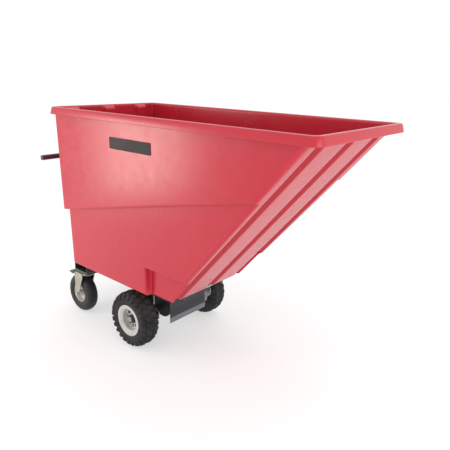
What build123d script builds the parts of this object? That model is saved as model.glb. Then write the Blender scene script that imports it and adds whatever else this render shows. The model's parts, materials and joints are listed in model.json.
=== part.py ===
"""Powered tilt truck: a moulded plastic hopper that tips forward on a wheeled, motor-driven chassis.

Millimetres. +X is the dumping (chute) end, +Y the left side, +Z up. The origin is on the floor, at the
middle of the whole truck's footprint. Pieces on the right side have negative Y.
"""
from build123d import *
from math import atan2, cos, pi, radians, sin, tan
import os

os.makedirs("parts", exist_ok=True)

# ---------------------------------------------------------------- driving dimensions
FRONT_REACH = 1217.0        # drive axle to the front lip of the rim
REAR_REACH = 741.0          # drive axle to the back of the handlebar
RIM_LENGTH = 1831.0
RIM_WIDTH = 823.0
RIM_HEIGHT = 1356.0         # floor to the top of the rim
RIM_SKIRT = 47.0            # height of the turned-down edge
RIM_FLARE = 8.0             # how far the skirt leans out at its lower lip
RIM_CORNER = 42.0

WALL = 8.0                  # moulded wall of the hopper
HOPPER_FLOOR_Z = 363.0      # underside of the hopper
FLOOR_HALF_WIDTH = 318.0    # lower walls at the floor
WALL_LEAN = 41.0            # how much wider each side is at the rim than at the floor
LEDGE_STEP = 26.0           # upper walls stand this far outside the lower ones
LEDGE_REAR_Z = 727.0
LEDGE_RISE = 0.214          # rise of the ledge per millimetre towards the chute
RIM_OVERHANG = 26.0         # rim edge beyond the rear wall
CHUTE_FOOT = 318.0          # drive axle to the foot of the chute
CHUTE_TOP = 1172.0          # drive axle to the top of the chute, at rim height
CORNER_RADIUS = 50.0        # upright corners of the hopper
FLOOR_RADIUS = 24.0         # rounding round the hopper's floor
GROOVE_PITCH = 260.0
GROOVE_WIDTH = 72.0
GROOVE_FLOOR_WIDTH = 50.0
GROOVE_DEPTH = 28.0
POCKET_HALF_WIDTH = 290.0   # wheel pockets: the lower walls step in to this half width
POCKET_REAR = 150.0         # drive axle to the rear end of the pocket
POCKET_TOP_Z = 530.0

WHEEL_RADIUS = 165.0
TYRE_WIDTH = 112.0
WHEEL_TRACK = 576.0         # between the middles of the two drive tyres
BEAD_RADIUS = 77.0
FLANGE_RADIUS = 93.0
RIM_STEEL = 3.0
DISC_RECESS = 36.0          # wheel disc, inside the outer flange
LUG_RADIUS = 44.0
LUG_COUNT = 4
STUD_RADIUS = 5.0
SHAFT_RADIUS = 12.5

CASTER_RADIUS = 127.0
CASTER_TYRE_WIDTH = 76.0
CASTER_X = -530.0           # swivel axis from the drive axle
CASTER_TRAIL = 62.0
CASTER_Y = 245.0
CASTER_PLATE_LENGTH = 130.0
CASTER_PLATE_WIDTH = 105.0
CASTER_BOLT_X = 92.0
CASTER_BOLT_Y = 70.0
CASTER_BEAD = 62.0
CASTER_FLANGE = 78.0
CASTER_BOLT_RADIUS = 7.0
RACE_RADIUS = 36.0
RACE_DEPTH = 8.0
KINGPIN_RADIUS = 9.0
CROWN_DEPTH = 9.0
FORK_STEEL = 5.0
FORK_ROOM = 6.0             # tyre to fork leg
PEDAL_PIN = 4.0

BEAM_HEIGHT = 50.0
RAIL_WIDTH = 40.0
RAIL_Y = 196.0
REAR_BEAM_DEPTH = 130.0
FRONT_BEAM_DEPTH = 40.0
RAIL_FRONT = 195.0          # drive axle to the front ends of the rails
TUBE_WALL = 4.0
MOUNT_PLATE = 6.0           # steel sheet under the hopper
CASTER_PLATE = 16.0
BRACKET_PLATE = 6.0
FLOOR_BOLT_RADIUS = 5.0
FLOOR_BOLT_Y = 156.0

PIVOT_X = 262.0             # tipping pivot from the drive axle
PIVOT_DROP = 28.0           # tipping pivot below the hopper's floor
PIVOT_RADIUS = 8.0
EAR_RADIUS = 19.0
EAR_Y = 160.0

AXLE_TUBE_RADIUS = 22.0
GEARBOX_HALF = 50.0
GEARBOX_RADIUS = 57.0
GEARBOX_WALL = 6.0
GEAR_MODULE = 3.0
DRIVE_GEAR_TEETH = 30
PINION_TEETH = 12
GEAR_WIDTH = 16.0
BACKLASH = 0.6
MOTOR_LEAN = 128.0          # angle of the motor round the axle, from straight ahead
MOTOR_RADIUS = 38.0
MOTOR_LENGTH = 92.0
MOTOR_SHAFT_RADIUS = 5.0

SHEET = 2.5
COVER_HALF = 147.0
COVER_REAR = -140.0         # drive axle to the back of the cover
COVER_FRONT = 150.0
COVER_LOW_Z = 153.0
COVER_LIP = 75.0            # drive axle to the back edge of the cover's floor
COVER_BEND = 62.0
GUARD_LOW_Z = 129.0
GUARD_HEIGHT = 53.0
GUARD_PLATE = 5.0

BATTERY_LENGTH = 181.0
BATTERY_WIDTH = 167.0
BATTERY_HEIGHT = 77.0
BATTERY_X = -300.0          # middle of the batteries from the drive axle
CONTROLLER_X = -176.0

BAR_RADIUS = 12.5
BAR_Z = 1035.0
BAR_HALF_LENGTH = 402.0
GRIP_LENGTH = 125.0
GRIP_RADIUS = 16.0
GRIP_CAP = 3.0
UPRIGHT_RADIUS = 14.0
UPRIGHT_Y = 200.0
HANDLE_BEND = 60.0

CONSOLE_HALF = 100.0
CONSOLE_HEIGHT = 70.0
CONSOLE_DEPTH = 76.0
CONSOLE_TILT = 32.0         # degrees the control face leans back from level
CLAMP_Y = 74.0
STOP_ALONG = -70.0          # places along the control face, to the right of its middle
STOP_HEAD = 16.0
STOP_STEM = 8.0
STOP_DEPTH = 20.0
STOP_TRAVEL = 5.0
KEY_ALONG = 72.0
KEY_RADIUS = 9.0
GAUGE_ALONG = -8.0
GAUGE_LENGTH = 52.0
GAUGE_WIDTH = 22.0
ROCKER_ALONG = 38.0
ROCKER_WIDTH = 15.0
ROCKER_LENGTH = 26.0

LABEL_LENGTH = 330.0
LABEL_HEIGHT = 62.0
LABEL_THICK = 0.6
LABEL_MIDDLE = 103.0        # drive axle to the middle of the side label
LABEL_Z = 1198.0

CLEAR = 0.3                 # between pieces that move past each other
PIN_CLEAR = 0.08            # radial, a pin in its hole

# ---------------------------------------------------------------- places that follow
AXLE_X = (REAR_REACH - FRONT_REACH) / 2
RIM_FRONT_X = AXLE_X + FRONT_REACH
RIM_REAR_X = RIM_FRONT_X - RIM_LENGTH
UPPER_REAR_X = RIM_REAR_X + RIM_OVERHANG
FOOT_X = AXLE_X + CHUTE_FOOT
TOP_X = AXLE_X + CHUTE_TOP
CHUTE_RISE = RIM_HEIGHT - HOPPER_FLOOR_Z
CHUTE_ANGLE = atan2(CHUTE_RISE, CHUTE_TOP - CHUTE_FOOT)
SKIRT_Z = RIM_HEIGHT - RIM_SKIRT
LEDGE_ANGLE = atan2(LEDGE_RISE, 1)
FRAME_TOP_Z = HOPPER_FLOOR_Z - MOUNT_PLATE
FRAME_Z = FRAME_TOP_Z - BEAM_HEIGHT / 2
FRAME_LOW_Z = FRAME_TOP_Z - BEAM_HEIGHT
RAIL_OUT_Y = RAIL_Y + RAIL_WIDTH / 2
RAIL_IN_Y = RAIL_Y - RAIL_WIDTH / 2
RAIL_FRONT_X = AXLE_X + RAIL_FRONT
REAR_BEAM_X = AXLE_X + CASTER_X
RAIL_REAR_X = REAR_BEAM_X + REAR_BEAM_DEPTH / 2
REAR_BEAM_HALF = CASTER_Y + CASTER_PLATE_WIDTH / 2
PIVOT_Z = HOPPER_FLOOR_Z - PIVOT_DROP
PIVOT_AT_X = AXLE_X + PIVOT_X
BRACKET_Y = RAIL_OUT_Y + BRACKET_PLATE / 2
WHEEL_Y = WHEEL_TRACK / 2
BAR_X = AXLE_X - REAR_REACH + GRIP_RADIUS
CASTER_AXLE_X = AXLE_X + CASTER_X - CASTER_TRAIL
GEAR_RADIUS = GEAR_MODULE * DRIVE_GEAR_TEETH / 2
PINION_RADIUS = GEAR_MODULE * PINION_TEETH / 2
CASTER_PLATE_LOW_Z = FRAME_LOW_Z - CASTER_PLATE
FORK_HALF = CASTER_TYRE_WIDTH / 2 + FORK_ROOM + FORK_STEEL
FORK_CROWN_TOP_Z = CASTER_PLATE_LOW_Z - RACE_DEPTH - CLEAR
FORK_CROWN_LOW_Z = FORK_CROWN_TOP_Z - CROWN_DEPTH
KINGPIN_REACH = RACE_DEPTH + CROWN_DEPTH + 8
PEDAL_X = AXLE_X + CASTER_X - 70
PEDAL_Z = FORK_CROWN_LOW_Z - 7
CONSOLE_X = BAR_X + 70
CONSOLE_FACE_Z = BAR_Z + 30
MOTOR_OFFSET = GEAR_RADIUS + PINION_RADIUS
MOTOR_X = AXLE_X + MOTOR_OFFSET * cos(radians(MOTOR_LEAN))
MOTOR_Z = WHEEL_RADIUS + MOTOR_OFFSET * sin(radians(MOTOR_LEAN))
TRAY_FLOOR_Z = FRAME_TOP_Z - BATTERY_HEIGHT - 18
SIDES = {"right": -1, "left": 1}


def keep(part, name):
    """Label a finished piece and write it as one STEP file."""
    part.label = name
    export_step(part, f"parts/{name}.step")


def axis_y(x, z):
    """The line through (x, z) that runs across the truck."""
    return Axis((x, 0, z), (0, 1, 0))


def side_plane(y_a, y_b):
    """The upright plane at the larger Y of the two, so that extrude(amount=abs(y_b - y_a)) fills between."""
    return Plane.XZ.offset(-max(y_a, y_b))


def round_bar(radius, start, end, bore=0.0):
    """A rod or tube between two points."""
    first, last = Vector(*start), Vector(*end)
    with BuildPart() as bar:
        with BuildSketch(Plane(origin=first, z_dir=last - first)):
            Circle(radius)
            if bore:
                Circle(bore, mode=Mode.SUBTRACT)
        extrude(amount=(last - first).length)
    return bar.part


# ---------------------------------------------------------------- hopper
def tapered_box(rear, rear_top, foot, top, half_foot, half_top, low, high, corner, bottom):
    """Four flat leaning walls between two levels, with rounded upright corners and a rounded floor."""
    with BuildPart() as box:
        for z, back, front, half in ((low, rear, foot, half_foot), (high, rear_top, top, half_top)):
            with BuildSketch(Plane.XY.offset(z)):
                with Locations(((back + front) / 2, 0)):
                    Rectangle(front - back, 2 * half)
        loft()
        uprights = box.edges().filter_by(lambda e: abs(e.tangent_at(0.5).Z) > 0.3)
        fillet(uprights, corner)
        fillet(box.faces().sort_by(Axis.Z)[0].edges(), bottom)
    return box.part


def leaning(base_value, lean, low, high):
    """A wall's place at level high, leaning out by lean over the height of the hopper."""
    return base_value + lean * (high - low) / CHUTE_RISE


def hopper_body(inset, top_z):
    """The hopper's outer solid, or with inset its cavity, from the floor to top_z."""
    low = HOPPER_FLOOR_Z + inset
    slope = (CHUTE_TOP - CHUTE_FOOT) / CHUTE_RISE
    chute_inset = inset / sin(CHUTE_ANGLE)
    foot = FOOT_X - chute_inset + inset * slope
    top = FOOT_X - chute_inset + (top_z - HOPPER_FLOOR_Z) * slope
    lower_rear = UPPER_REAR_X + LEDGE_STEP + inset
    half_low = leaning(FLOOR_HALF_WIDTH - inset, WALL_LEAN, HOPPER_FLOOR_Z, low)
    half_top = leaning(FLOOR_HALF_WIDTH - inset, WALL_LEAN, HOPPER_FLOOR_Z, top_z)
    corner, bottom = CORNER_RADIUS - inset, FLOOR_RADIUS - inset
    lower = tapered_box(lower_rear, lower_rear, foot, top, half_low, half_top, low, top_z, corner, bottom)
    upper = tapered_box(lower_rear - LEDGE_STEP, lower_rear - LEDGE_STEP, foot, top,
                        half_low + LEDGE_STEP, half_top + LEDGE_STEP, low, top_z, corner, bottom)
    ledge_z = LEDGE_REAR_Z + inset / cos(LEDGE_ANGLE)
    ledge = Plane(origin=(UPPER_REAR_X, 0, ledge_z), z_dir=(-sin(LEDGE_ANGLE), 0, cos(LEDGE_ANGLE)))
    pocket_length = FOOT_X + CHUTE_RISE - (AXLE_X + POCKET_REAR - inset)
    pocket_height = POCKET_TOP_Z + inset - low + 1
    with BuildPart() as body:
        add(split(upper, bisect_by=ledge, keep=Keep.TOP, mode=Mode.PRIVATE))
        add(lower)
        for side in SIDES.values():
            inner = POCKET_HALF_WIDTH - inset
            with Locations((AXLE_X + POCKET_REAR - inset + pocket_length / 2,
                            side * (inner + RIM_WIDTH / 2), low - 1 + pocket_height / 2)):
                Box(pocket_length, RIM_WIDTH, pocket_height, mode=Mode.SUBTRACT)
    return body.part


def groove(plane, y, grow, length):
    """One tapered channel that runs along the plane's normal, at a place y across the hopper."""
    mouth, bed = GROOVE_WIDTH / 2 + grow, GROOVE_FLOOR_WIDTH / 2 + grow
    with BuildPart() as channel:
        with BuildSketch(plane):
            with BuildLine():
                Polyline((y - mouth, -WALL), (y - bed, GROOVE_DEPTH + grow), (y + bed, GROOVE_DEPTH + grow),
                         (y + mouth, -WALL), close=True)
            make_face()
        extrude(amount=length)
    return channel.part


def grooves(grow, top_z):
    """The three channels up the chute and the three up the rear wall."""
    slope = Vector(cos(CHUTE_ANGLE), 0, sin(CHUTE_ANGLE))
    run = (top_z - HOPPER_FLOOR_Z) / sin(CHUTE_ANGLE)
    start = Vector(FOOT_X, 0, HOPPER_FLOOR_Z) - slope * GROOVE_WIDTH
    chute = Plane(origin=start, x_dir=(0, 1, 0), z_dir=slope)
    rear = Plane(origin=(UPPER_REAR_X, 0, HOPPER_FLOOR_Z - WALL), x_dir=(0, -1, 0), z_dir=(0, 0, 1))
    made = []
    for y in (-GROOVE_PITCH, 0, GROOVE_PITCH):
        made.append(groove(chute, y, grow, run + GROOVE_WIDTH))
        made.append(groove(rear, y, grow, top_z - HOPPER_FLOOR_Z + WALL))
    return made


def rim_block(inset, low, high):
    """A slab under the rim's outline: full size at its lower lip and narrower at the top."""
    with BuildPart() as slab:
        for z, back_off in ((low, inset), (high, inset + RIM_FLARE)):
            with BuildSketch(Plane.XY.offset(z)):
                with Locations(((RIM_FRONT_X + RIM_REAR_X) / 2, 0)):
                    RectangleRounded(RIM_LENGTH - 2 * back_off, RIM_WIDTH - 2 * back_off,
                                     RIM_CORNER - inset)
        loft()
    return slab.part


def build_hopper():
    outer = hopper_body(0, RIM_HEIGHT)
    cavity = hopper_body(WALL, RIM_HEIGHT + WALL)
    with BuildPart() as ridged:
        add(cavity)
        for channel in grooves(WALL, RIM_HEIGHT + WALL):
            add(channel, mode=Mode.SUBTRACT)
    with BuildPart() as flange:
        add(rim_block(0, SKIRT_Z, RIM_HEIGHT))
        add(rim_block(WALL, SKIRT_Z - WALL, RIM_HEIGHT - WALL), mode=Mode.SUBTRACT)
    with BuildPart() as hopper:
        add(outer)
        for channel in grooves(0, RIM_HEIGHT - 2 * WALL):
            add(channel, mode=Mode.SUBTRACT)
        add(flange.part)
        add(ridged.part, mode=Mode.SUBTRACT)
        with BuildSketch(Plane.XY.offset(HOPPER_FLOOR_Z - WALL)):
            with Locations(*floor_bolt_places()):
                Circle(FLOOR_BOLT_RADIUS + CLEAR)
        extrude(amount=3 * WALL, mode=Mode.SUBTRACT)
    keep(hopper.part, "hopper_tub")


def floor_bolt_places():
    """Where the bolts pass through the hopper's floor and its steel sheet."""
    return [(x, side * FLOOR_BOLT_Y)
            for x in (RAIL_REAR_X + 60, AXLE_X - 60, PIVOT_AT_X - 80) for side in SIDES.values()]


def build_mount_plate():
    plate_rear = RAIL_REAR_X + 20
    plate_front = PIVOT_AT_X + EAR_RADIUS
    window_length = plate_front - plate_rear - 2 * (PIVOT_AT_X - RAIL_FRONT_X)
    with BuildPart() as plate:
        with BuildSketch(Plane.XY.offset(FRAME_TOP_Z)):
            with Locations(((plate_rear + plate_front) / 2, 0)):
                Rectangle(plate_front - plate_rear, 2 * RAIL_OUT_Y)
                Rectangle(window_length, 2 * (RAIL_IN_Y - RAIL_WIDTH), mode=Mode.SUBTRACT)
            with Locations(*floor_bolt_places()):
                Circle(FLOOR_BOLT_RADIUS + CLEAR, mode=Mode.SUBTRACT)
        extrude(amount=MOUNT_PLATE)
    keep(plate.part, "hopper_mount_plate")


def build_pivot_ears():
    with BuildPart() as ears:
        for side in SIDES.values():
            inner, outer = side * EAR_Y - BRACKET_PLATE / 2, side * EAR_Y + BRACKET_PLATE / 2
            with BuildSketch(side_plane(inner, outer)):
                with Locations((PIVOT_AT_X, PIVOT_Z)):
                    Circle(EAR_RADIUS)
                with Locations((PIVOT_AT_X, (PIVOT_Z + FRAME_TOP_Z) / 2)):
                    Rectangle(2 * EAR_RADIUS, FRAME_TOP_Z - PIVOT_Z)
                with Locations((PIVOT_AT_X, PIVOT_Z)):
                    Circle(PIVOT_RADIUS + PIN_CLEAR, mode=Mode.SUBTRACT)
            extrude(amount=BRACKET_PLATE)
    keep(ears.part, "hopper_pivot_ears")


def build_floor_bolts():
    """Shank, wide washer and head above the hopper's floor, nut under its steel sheet."""
    floor_top = HOPPER_FLOOR_Z + WALL
    washer, head = 3.0, 7.0
    stack = ((FRAME_TOP_Z - head, head, 9.0), (floor_top + washer, head, 9.0))
    with BuildPart() as bolts:
        for level, height, across in stack:
            with BuildSketch(Plane.XY.offset(level)):
                with Locations(*floor_bolt_places()):
                    RegularPolygon(across, 6)
            extrude(amount=height)
        with BuildSketch(Plane.XY.offset(FRAME_TOP_Z - head)):
            with Locations(*floor_bolt_places()):
                Circle(FLOOR_BOLT_RADIUS)
        extrude(amount=floor_top + washer - FRAME_TOP_Z + head)
        with BuildSketch(Plane.XY.offset(floor_top)):
            with Locations(*floor_bolt_places()):
                Circle(3 * FLOOR_BOLT_RADIUS)
        extrude(amount=washer)
    keep(bolts.part, "hopper_floor_bolts")


def build_side_labels():
    """Blank plates that follow the lean of the upper side walls."""
    lean = atan2(WALL_LEAN, CHUTE_RISE)
    half = leaning(FLOOR_HALF_WIDTH + LEDGE_STEP, WALL_LEAN, HOPPER_FLOOR_Z, LABEL_Z)
    with BuildPart() as labels:
        for side in SIDES.values():
            outward = Vector(0, side * cos(lean), -sin(lean))
            face = Plane(origin=(AXLE_X + LABEL_MIDDLE, side * half, LABEL_Z), x_dir=(1, 0, 0),
                         z_dir=outward)
            with BuildSketch(face):
                RectangleRounded(LABEL_LENGTH, LABEL_HEIGHT, 8)
            extrude(amount=LABEL_THICK)
    keep(labels.part, "side_labels")


# ---------------------------------------------------------------- chassis
def square_tube(x_size, y_size, z_size, centre, along):
    """A straight box tube, hollow along X or Y."""
    hollow = [x_size - 2 * TUBE_WALL, y_size - 2 * TUBE_WALL, z_size - 2 * TUBE_WALL]
    hollow["XY".index(along)] += 4 * TUBE_WALL
    with BuildPart() as tube:
        with Locations(centre):
            Box(x_size, y_size, z_size)
            Box(*hollow, mode=Mode.SUBTRACT)
    return tube.part


def build_frame():
    rail_length = RAIL_FRONT_X - RAIL_REAR_X
    for name, side in SIDES.items():
        middle = ((RAIL_FRONT_X + RAIL_REAR_X) / 2, side * RAIL_Y, FRAME_Z)
        keep(square_tube(rail_length, RAIL_WIDTH, BEAM_HEIGHT, middle, "X"), f"frame_rail_{name}")
    rear = (REAR_BEAM_X, 0, FRAME_Z)
    keep(square_tube(REAR_BEAM_DEPTH, 2 * REAR_BEAM_HALF, BEAM_HEIGHT, rear, "Y"), "rear_cross_beam")
    front = (RAIL_FRONT_X + FRONT_BEAM_DEPTH / 2, 0, FRAME_Z)
    keep(square_tube(FRONT_BEAM_DEPTH, 2 * RAIL_OUT_Y, BEAM_HEIGHT, front, "Y"), "front_cross_beam")


def build_pivot():
    """Two pairs of lugs on the front beam, and the pin through them and the hopper's ears."""
    lug_rear = RAIL_FRONT_X + FRONT_BEAM_DEPTH
    with BuildPart() as lugs:
        for side in SIDES.values():
            for gap in (-1, 1):
                middle = side * EAR_Y + gap * (BRACKET_PLATE + CLEAR)
                with BuildSketch(side_plane(middle - BRACKET_PLATE / 2, middle + BRACKET_PLATE / 2)):
                    with Locations((PIVOT_AT_X, PIVOT_Z)):
                        Circle(EAR_RADIUS)
                    with Locations(((lug_rear + PIVOT_AT_X) / 2, PIVOT_Z)):
                        Rectangle(PIVOT_AT_X - lug_rear, 2 * EAR_RADIUS)
                    with Locations((PIVOT_AT_X, PIVOT_Z)):
                        Circle(PIVOT_RADIUS, mode=Mode.SUBTRACT)
                extrude(amount=BRACKET_PLATE)
    keep(lugs.part, "frame_pivot_lugs")
    half_pin = EAR_Y + 2 * BRACKET_PLATE + 8
    pin = round_bar(PIVOT_RADIUS, (PIVOT_AT_X, -half_pin, PIVOT_Z), (PIVOT_AT_X, half_pin, PIVOT_Z))
    keep(pin, "pivot_pin")
    ring = 2.0
    ring_in = EAR_Y + 1.5 * BRACKET_PLATE + 2 * CLEAR
    with BuildPart() as rings:
        for side in SIDES.values():
            with BuildSketch(side_plane(side * ring_in, side * (ring_in + ring))):
                with Locations((PIVOT_AT_X, PIVOT_Z)):
                    Circle(PIVOT_RADIUS + 4)
                    Circle(PIVOT_RADIUS, mode=Mode.SUBTRACT)
            extrude(amount=ring)
    keep(rings.part, "pivot_pin_rings")


def build_axle_brackets():
    half_top, nose, low_half = 92.0, 135.0, 60.0
    low_z = WHEEL_RADIUS - 2 * AXLE_TUBE_RADIUS
    for name, side in SIDES.items():
        with BuildPart() as bracket:
            with BuildSketch(side_plane(side * RAIL_OUT_Y, side * (RAIL_OUT_Y + BRACKET_PLATE))):
                with BuildLine():
                    Polyline((AXLE_X - half_top, FRAME_TOP_Z - TUBE_WALL),
                             (AXLE_X + half_top, FRAME_TOP_Z - TUBE_WALL),
                             (AXLE_X + half_top, FRAME_LOW_Z - BEAM_HEIGHT),
                             (AXLE_X + nose, WHEEL_RADIUS + 54),
                             (AXLE_X + nose, WHEEL_RADIUS + 15), (AXLE_X + low_half, low_z),
                             (AXLE_X - low_half, low_z), (AXLE_X - half_top, WHEEL_RADIUS + 15), close=True)
                make_face()
                with Locations((AXLE_X, WHEEL_RADIUS)):
                    Circle(AXLE_TUBE_RADIUS, mode=Mode.SUBTRACT)
            extrude(amount=BRACKET_PLATE)
        keep(bracket.part, f"axle_bracket_{name}")


# ---------------------------------------------------------------- drive
def toothed_disc(teeth, x, z, first_angle, low_y, high_y):
    """A spur gear about an axis across the truck, with one tooth centred on first_angle."""
    pitch_radius = GEAR_MODULE * teeth / 2
    root = pitch_radius - 1.2 * GEAR_MODULE
    tip = pitch_radius + 0.85 * GEAR_MODULE
    half_pitch = pi * GEAR_MODULE / 4 - BACKLASH / 2
    half_root = half_pitch + (pitch_radius - root) * tan(radians(20))
    half_tip = half_pitch - (tip - pitch_radius) * tan(radians(20))
    with BuildPart() as disc:
        with BuildSketch(side_plane(low_y, high_y)):
            with Locations((x, z)):
                Circle(root)
                with PolarLocations(0, teeth, start_angle=first_angle):
                    Polygon((root - 1, -half_root), (tip, -half_tip), (tip, half_tip),
                            (root - 1, half_root),
                            align=None)
        extrude(amount=high_y - low_y)
    return disc.part


def build_gear_train():
    """Pinion on the motor's shaft and the large gear that turns round the drive axle."""
    gear_half = GEAR_WIDTH / 2
    sleeve = GEARBOX_HALF - GEARBOX_WALL - CLEAR
    with BuildPart() as gear:
        add(toothed_disc(DRIVE_GEAR_TEETH, AXLE_X, WHEEL_RADIUS, MOTOR_LEAN, -gear_half, gear_half))
        add(round_bar(AXLE_TUBE_RADIUS - 2, (AXLE_X, -sleeve, WHEEL_RADIUS),
                      (AXLE_X, sleeve, WHEEL_RADIUS)))
        bore = SHAFT_RADIUS + PIN_CLEAR
        add(round_bar(bore, (AXLE_X, -GEARBOX_HALF, WHEEL_RADIUS), (AXLE_X, GEARBOX_HALF, WHEEL_RADIUS)),
            mode=Mode.SUBTRACT)
    keep(gear.part, "drive_gear")
    pinion_half = gear_half + 2
    tooth_gap = MOTOR_LEAN + 180 + 180 / PINION_TEETH
    with BuildPart() as pinion:
        add(toothed_disc(PINION_TEETH, MOTOR_X, MOTOR_Z, tooth_gap, -pinion_half, pinion_half))
        add(round_bar(MOTOR_SHAFT_RADIUS, (MOTOR_X, -GEARBOX_HALF + GEARBOX_WALL + CLEAR, MOTOR_Z),
                      (MOTOR_X, GEARBOX_HALF + MOTOR_LENGTH / 2, MOTOR_Z)))
    keep(pinion.part, "motor_pinion")


def gearbox_outline(radius_off):
    """Two circles, round the axle and round the motor's shaft, joined by straight sides."""
    reach = GEARBOX_RADIUS - radius_off
    small = PINION_RADIUS + 14 - radius_off
    with BuildSketch(mode=Mode.PRIVATE) as outline:
        with BuildSketch(mode=Mode.PRIVATE) as ends:
            with Locations((AXLE_X, WHEEL_RADIUS)):
                Circle(reach)
            with Locations((MOTOR_X, MOTOR_Z)):
                Circle(small)
        make_hull(ends.sketch.edges())
    return outline.sketch


def build_gearbox():
    """Two cast halves that close on the middle plane, with bosses that carry the shafts."""
    bore = SHAFT_RADIUS + PIN_CLEAR
    for name, side in SIDES.items():
        outer_y = side * GEARBOX_HALF
        wall_y = side * (GEARBOX_HALF - GEARBOX_WALL)
        with BuildPart() as half:
            with BuildSketch(side_plane(0, outer_y)):
                add(gearbox_outline(0))
            extrude(amount=GEARBOX_HALF)
            with BuildSketch(side_plane(0, wall_y)):
                add(gearbox_outline(GEARBOX_WALL))
            extrude(amount=abs(wall_y), mode=Mode.SUBTRACT)
            add(round_bar(bore, (AXLE_X, 0, WHEEL_RADIUS), (AXLE_X, 2 * outer_y, WHEEL_RADIUS)),
                mode=Mode.SUBTRACT)
            if side == SIDES["left"]:
                add(round_bar(MOTOR_SHAFT_RADIUS + PIN_CLEAR, (MOTOR_X, 0, MOTOR_Z),
                              (MOTOR_X, 2 * outer_y, MOTOR_Z)),
                    mode=Mode.SUBTRACT)
        keep(half.part, f"gearbox_half_{name}")


def build_axle_tubes():
    """Tubes from the gearbox to the brackets: close round the shaft at each end, wider between."""
    start, end = GEARBOX_HALF, RAIL_OUT_Y + BRACKET_PLATE
    bearing = 18.0
    with BuildPart() as tubes:
        for side in SIDES.values():
            add(round_bar(AXLE_TUBE_RADIUS, (AXLE_X, side * start, WHEEL_RADIUS),
                          (AXLE_X, side * end, WHEEL_RADIUS)))
        for side in SIDES.values():
            for radius, off in ((SHAFT_RADIUS + PIN_CLEAR, 0), (SHAFT_RADIUS + 3, bearing)):
                add(round_bar(radius, (AXLE_X, side * (start + off), WHEEL_RADIUS),
                              (AXLE_X, side * (end - off), WHEEL_RADIUS)), mode=Mode.SUBTRACT)
    keep(tubes.part, "axle_tubes")


def build_motor():
    start = GEARBOX_HALF
    end = start + MOTOR_LENGTH
    with BuildPart() as motor:
        add(round_bar(MOTOR_RADIUS, (MOTOR_X, start, MOTOR_Z), (MOTOR_X, end, MOTOR_Z)))
        chamfer(motor.faces().sort_by(Axis.Y)[-1].edges(), 4)
        add(round_bar(MOTOR_SHAFT_RADIUS + PIN_CLEAR, (MOTOR_X, start, MOTOR_Z),
                      (MOTOR_X, end - 10, MOTOR_Z)),
            mode=Mode.SUBTRACT)
    keep(motor.part, "drive_motor")


def cover_outline(off):
    """Side view of the drive cover: square, with its lower front corner rounded."""
    rear, front = AXLE_X + COVER_REAR + off, AXLE_X + COVER_FRONT - off
    low, top = COVER_LOW_Z + off, FRAME_LOW_Z
    bend = COVER_BEND - off
    with BuildSketch(mode=Mode.PRIVATE) as outline:
        with BuildLine():
            Polyline((front, low + bend), (front, top), (rear, top), (rear, low), (front - bend, low))
            RadiusArc((front - bend, low), (front, low + bend), -bend)
        make_face()
    return outline.sketch


def build_cover():
    """Bent sheet box under the rails: open below behind its lip, slotted for the axle tubes."""
    inner = COVER_HALF - SHEET
    slot = AXLE_TUBE_RADIUS + 2
    with BuildPart() as cover:
        with BuildSketch(side_plane(-COVER_HALF, COVER_HALF)):
            add(cover_outline(0))
        extrude(amount=2 * COVER_HALF)
        with BuildSketch(side_plane(-inner, inner)):
            add(cover_outline(SHEET))
        extrude(amount=2 * inner, mode=Mode.SUBTRACT)
        mouth_rear, mouth_front = AXLE_X + COVER_REAR + SHEET, AXLE_X + COVER_LIP
        with Locations(((mouth_rear + mouth_front) / 2, 0, COVER_LOW_Z)):
            Box(mouth_front - mouth_rear, 2 * inner, 4 * SHEET, mode=Mode.SUBTRACT)
        with BuildSketch(side_plane(-2 * COVER_HALF, 2 * COVER_HALF)):
            with Locations((AXLE_X, WHEEL_RADIUS)):
                Circle(slot)
            with Locations((AXLE_X, WHEEL_RADIUS - slot)):
                Rectangle(2 * slot, 2 * slot)
        extrude(amount=4 * COVER_HALF, mode=Mode.SUBTRACT)
        for side in SIDES.values():
            middle = side * (COVER_HALF + RAIL_Y) / 2
            with Locations((AXLE_X, middle, FRAME_LOW_Z - SHEET / 2)):
                Box(COVER_FRONT - COVER_REAR - 2 * BEAM_HEIGHT, RAIL_Y - COVER_HALF, SHEET)
    keep(cover.part, "drive_cover")
    guard_x = AXLE_X + COVER_FRONT
    bend_z = COVER_LOW_Z + COVER_BEND
    with BuildPart() as guard:
        with BuildSketch(side_plane(-COVER_HALF, COVER_HALF)):
            with BuildLine():
                Polyline((guard_x, GUARD_LOW_Z), (guard_x + GUARD_PLATE, GUARD_LOW_Z),
                         (guard_x + GUARD_PLATE, GUARD_LOW_Z + GUARD_HEIGHT), (guard_x, bend_z),
                         close=True)
            make_face()
        extrude(amount=2 * COVER_HALF)
    keep(guard.part, "front_guard_plate")


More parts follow.
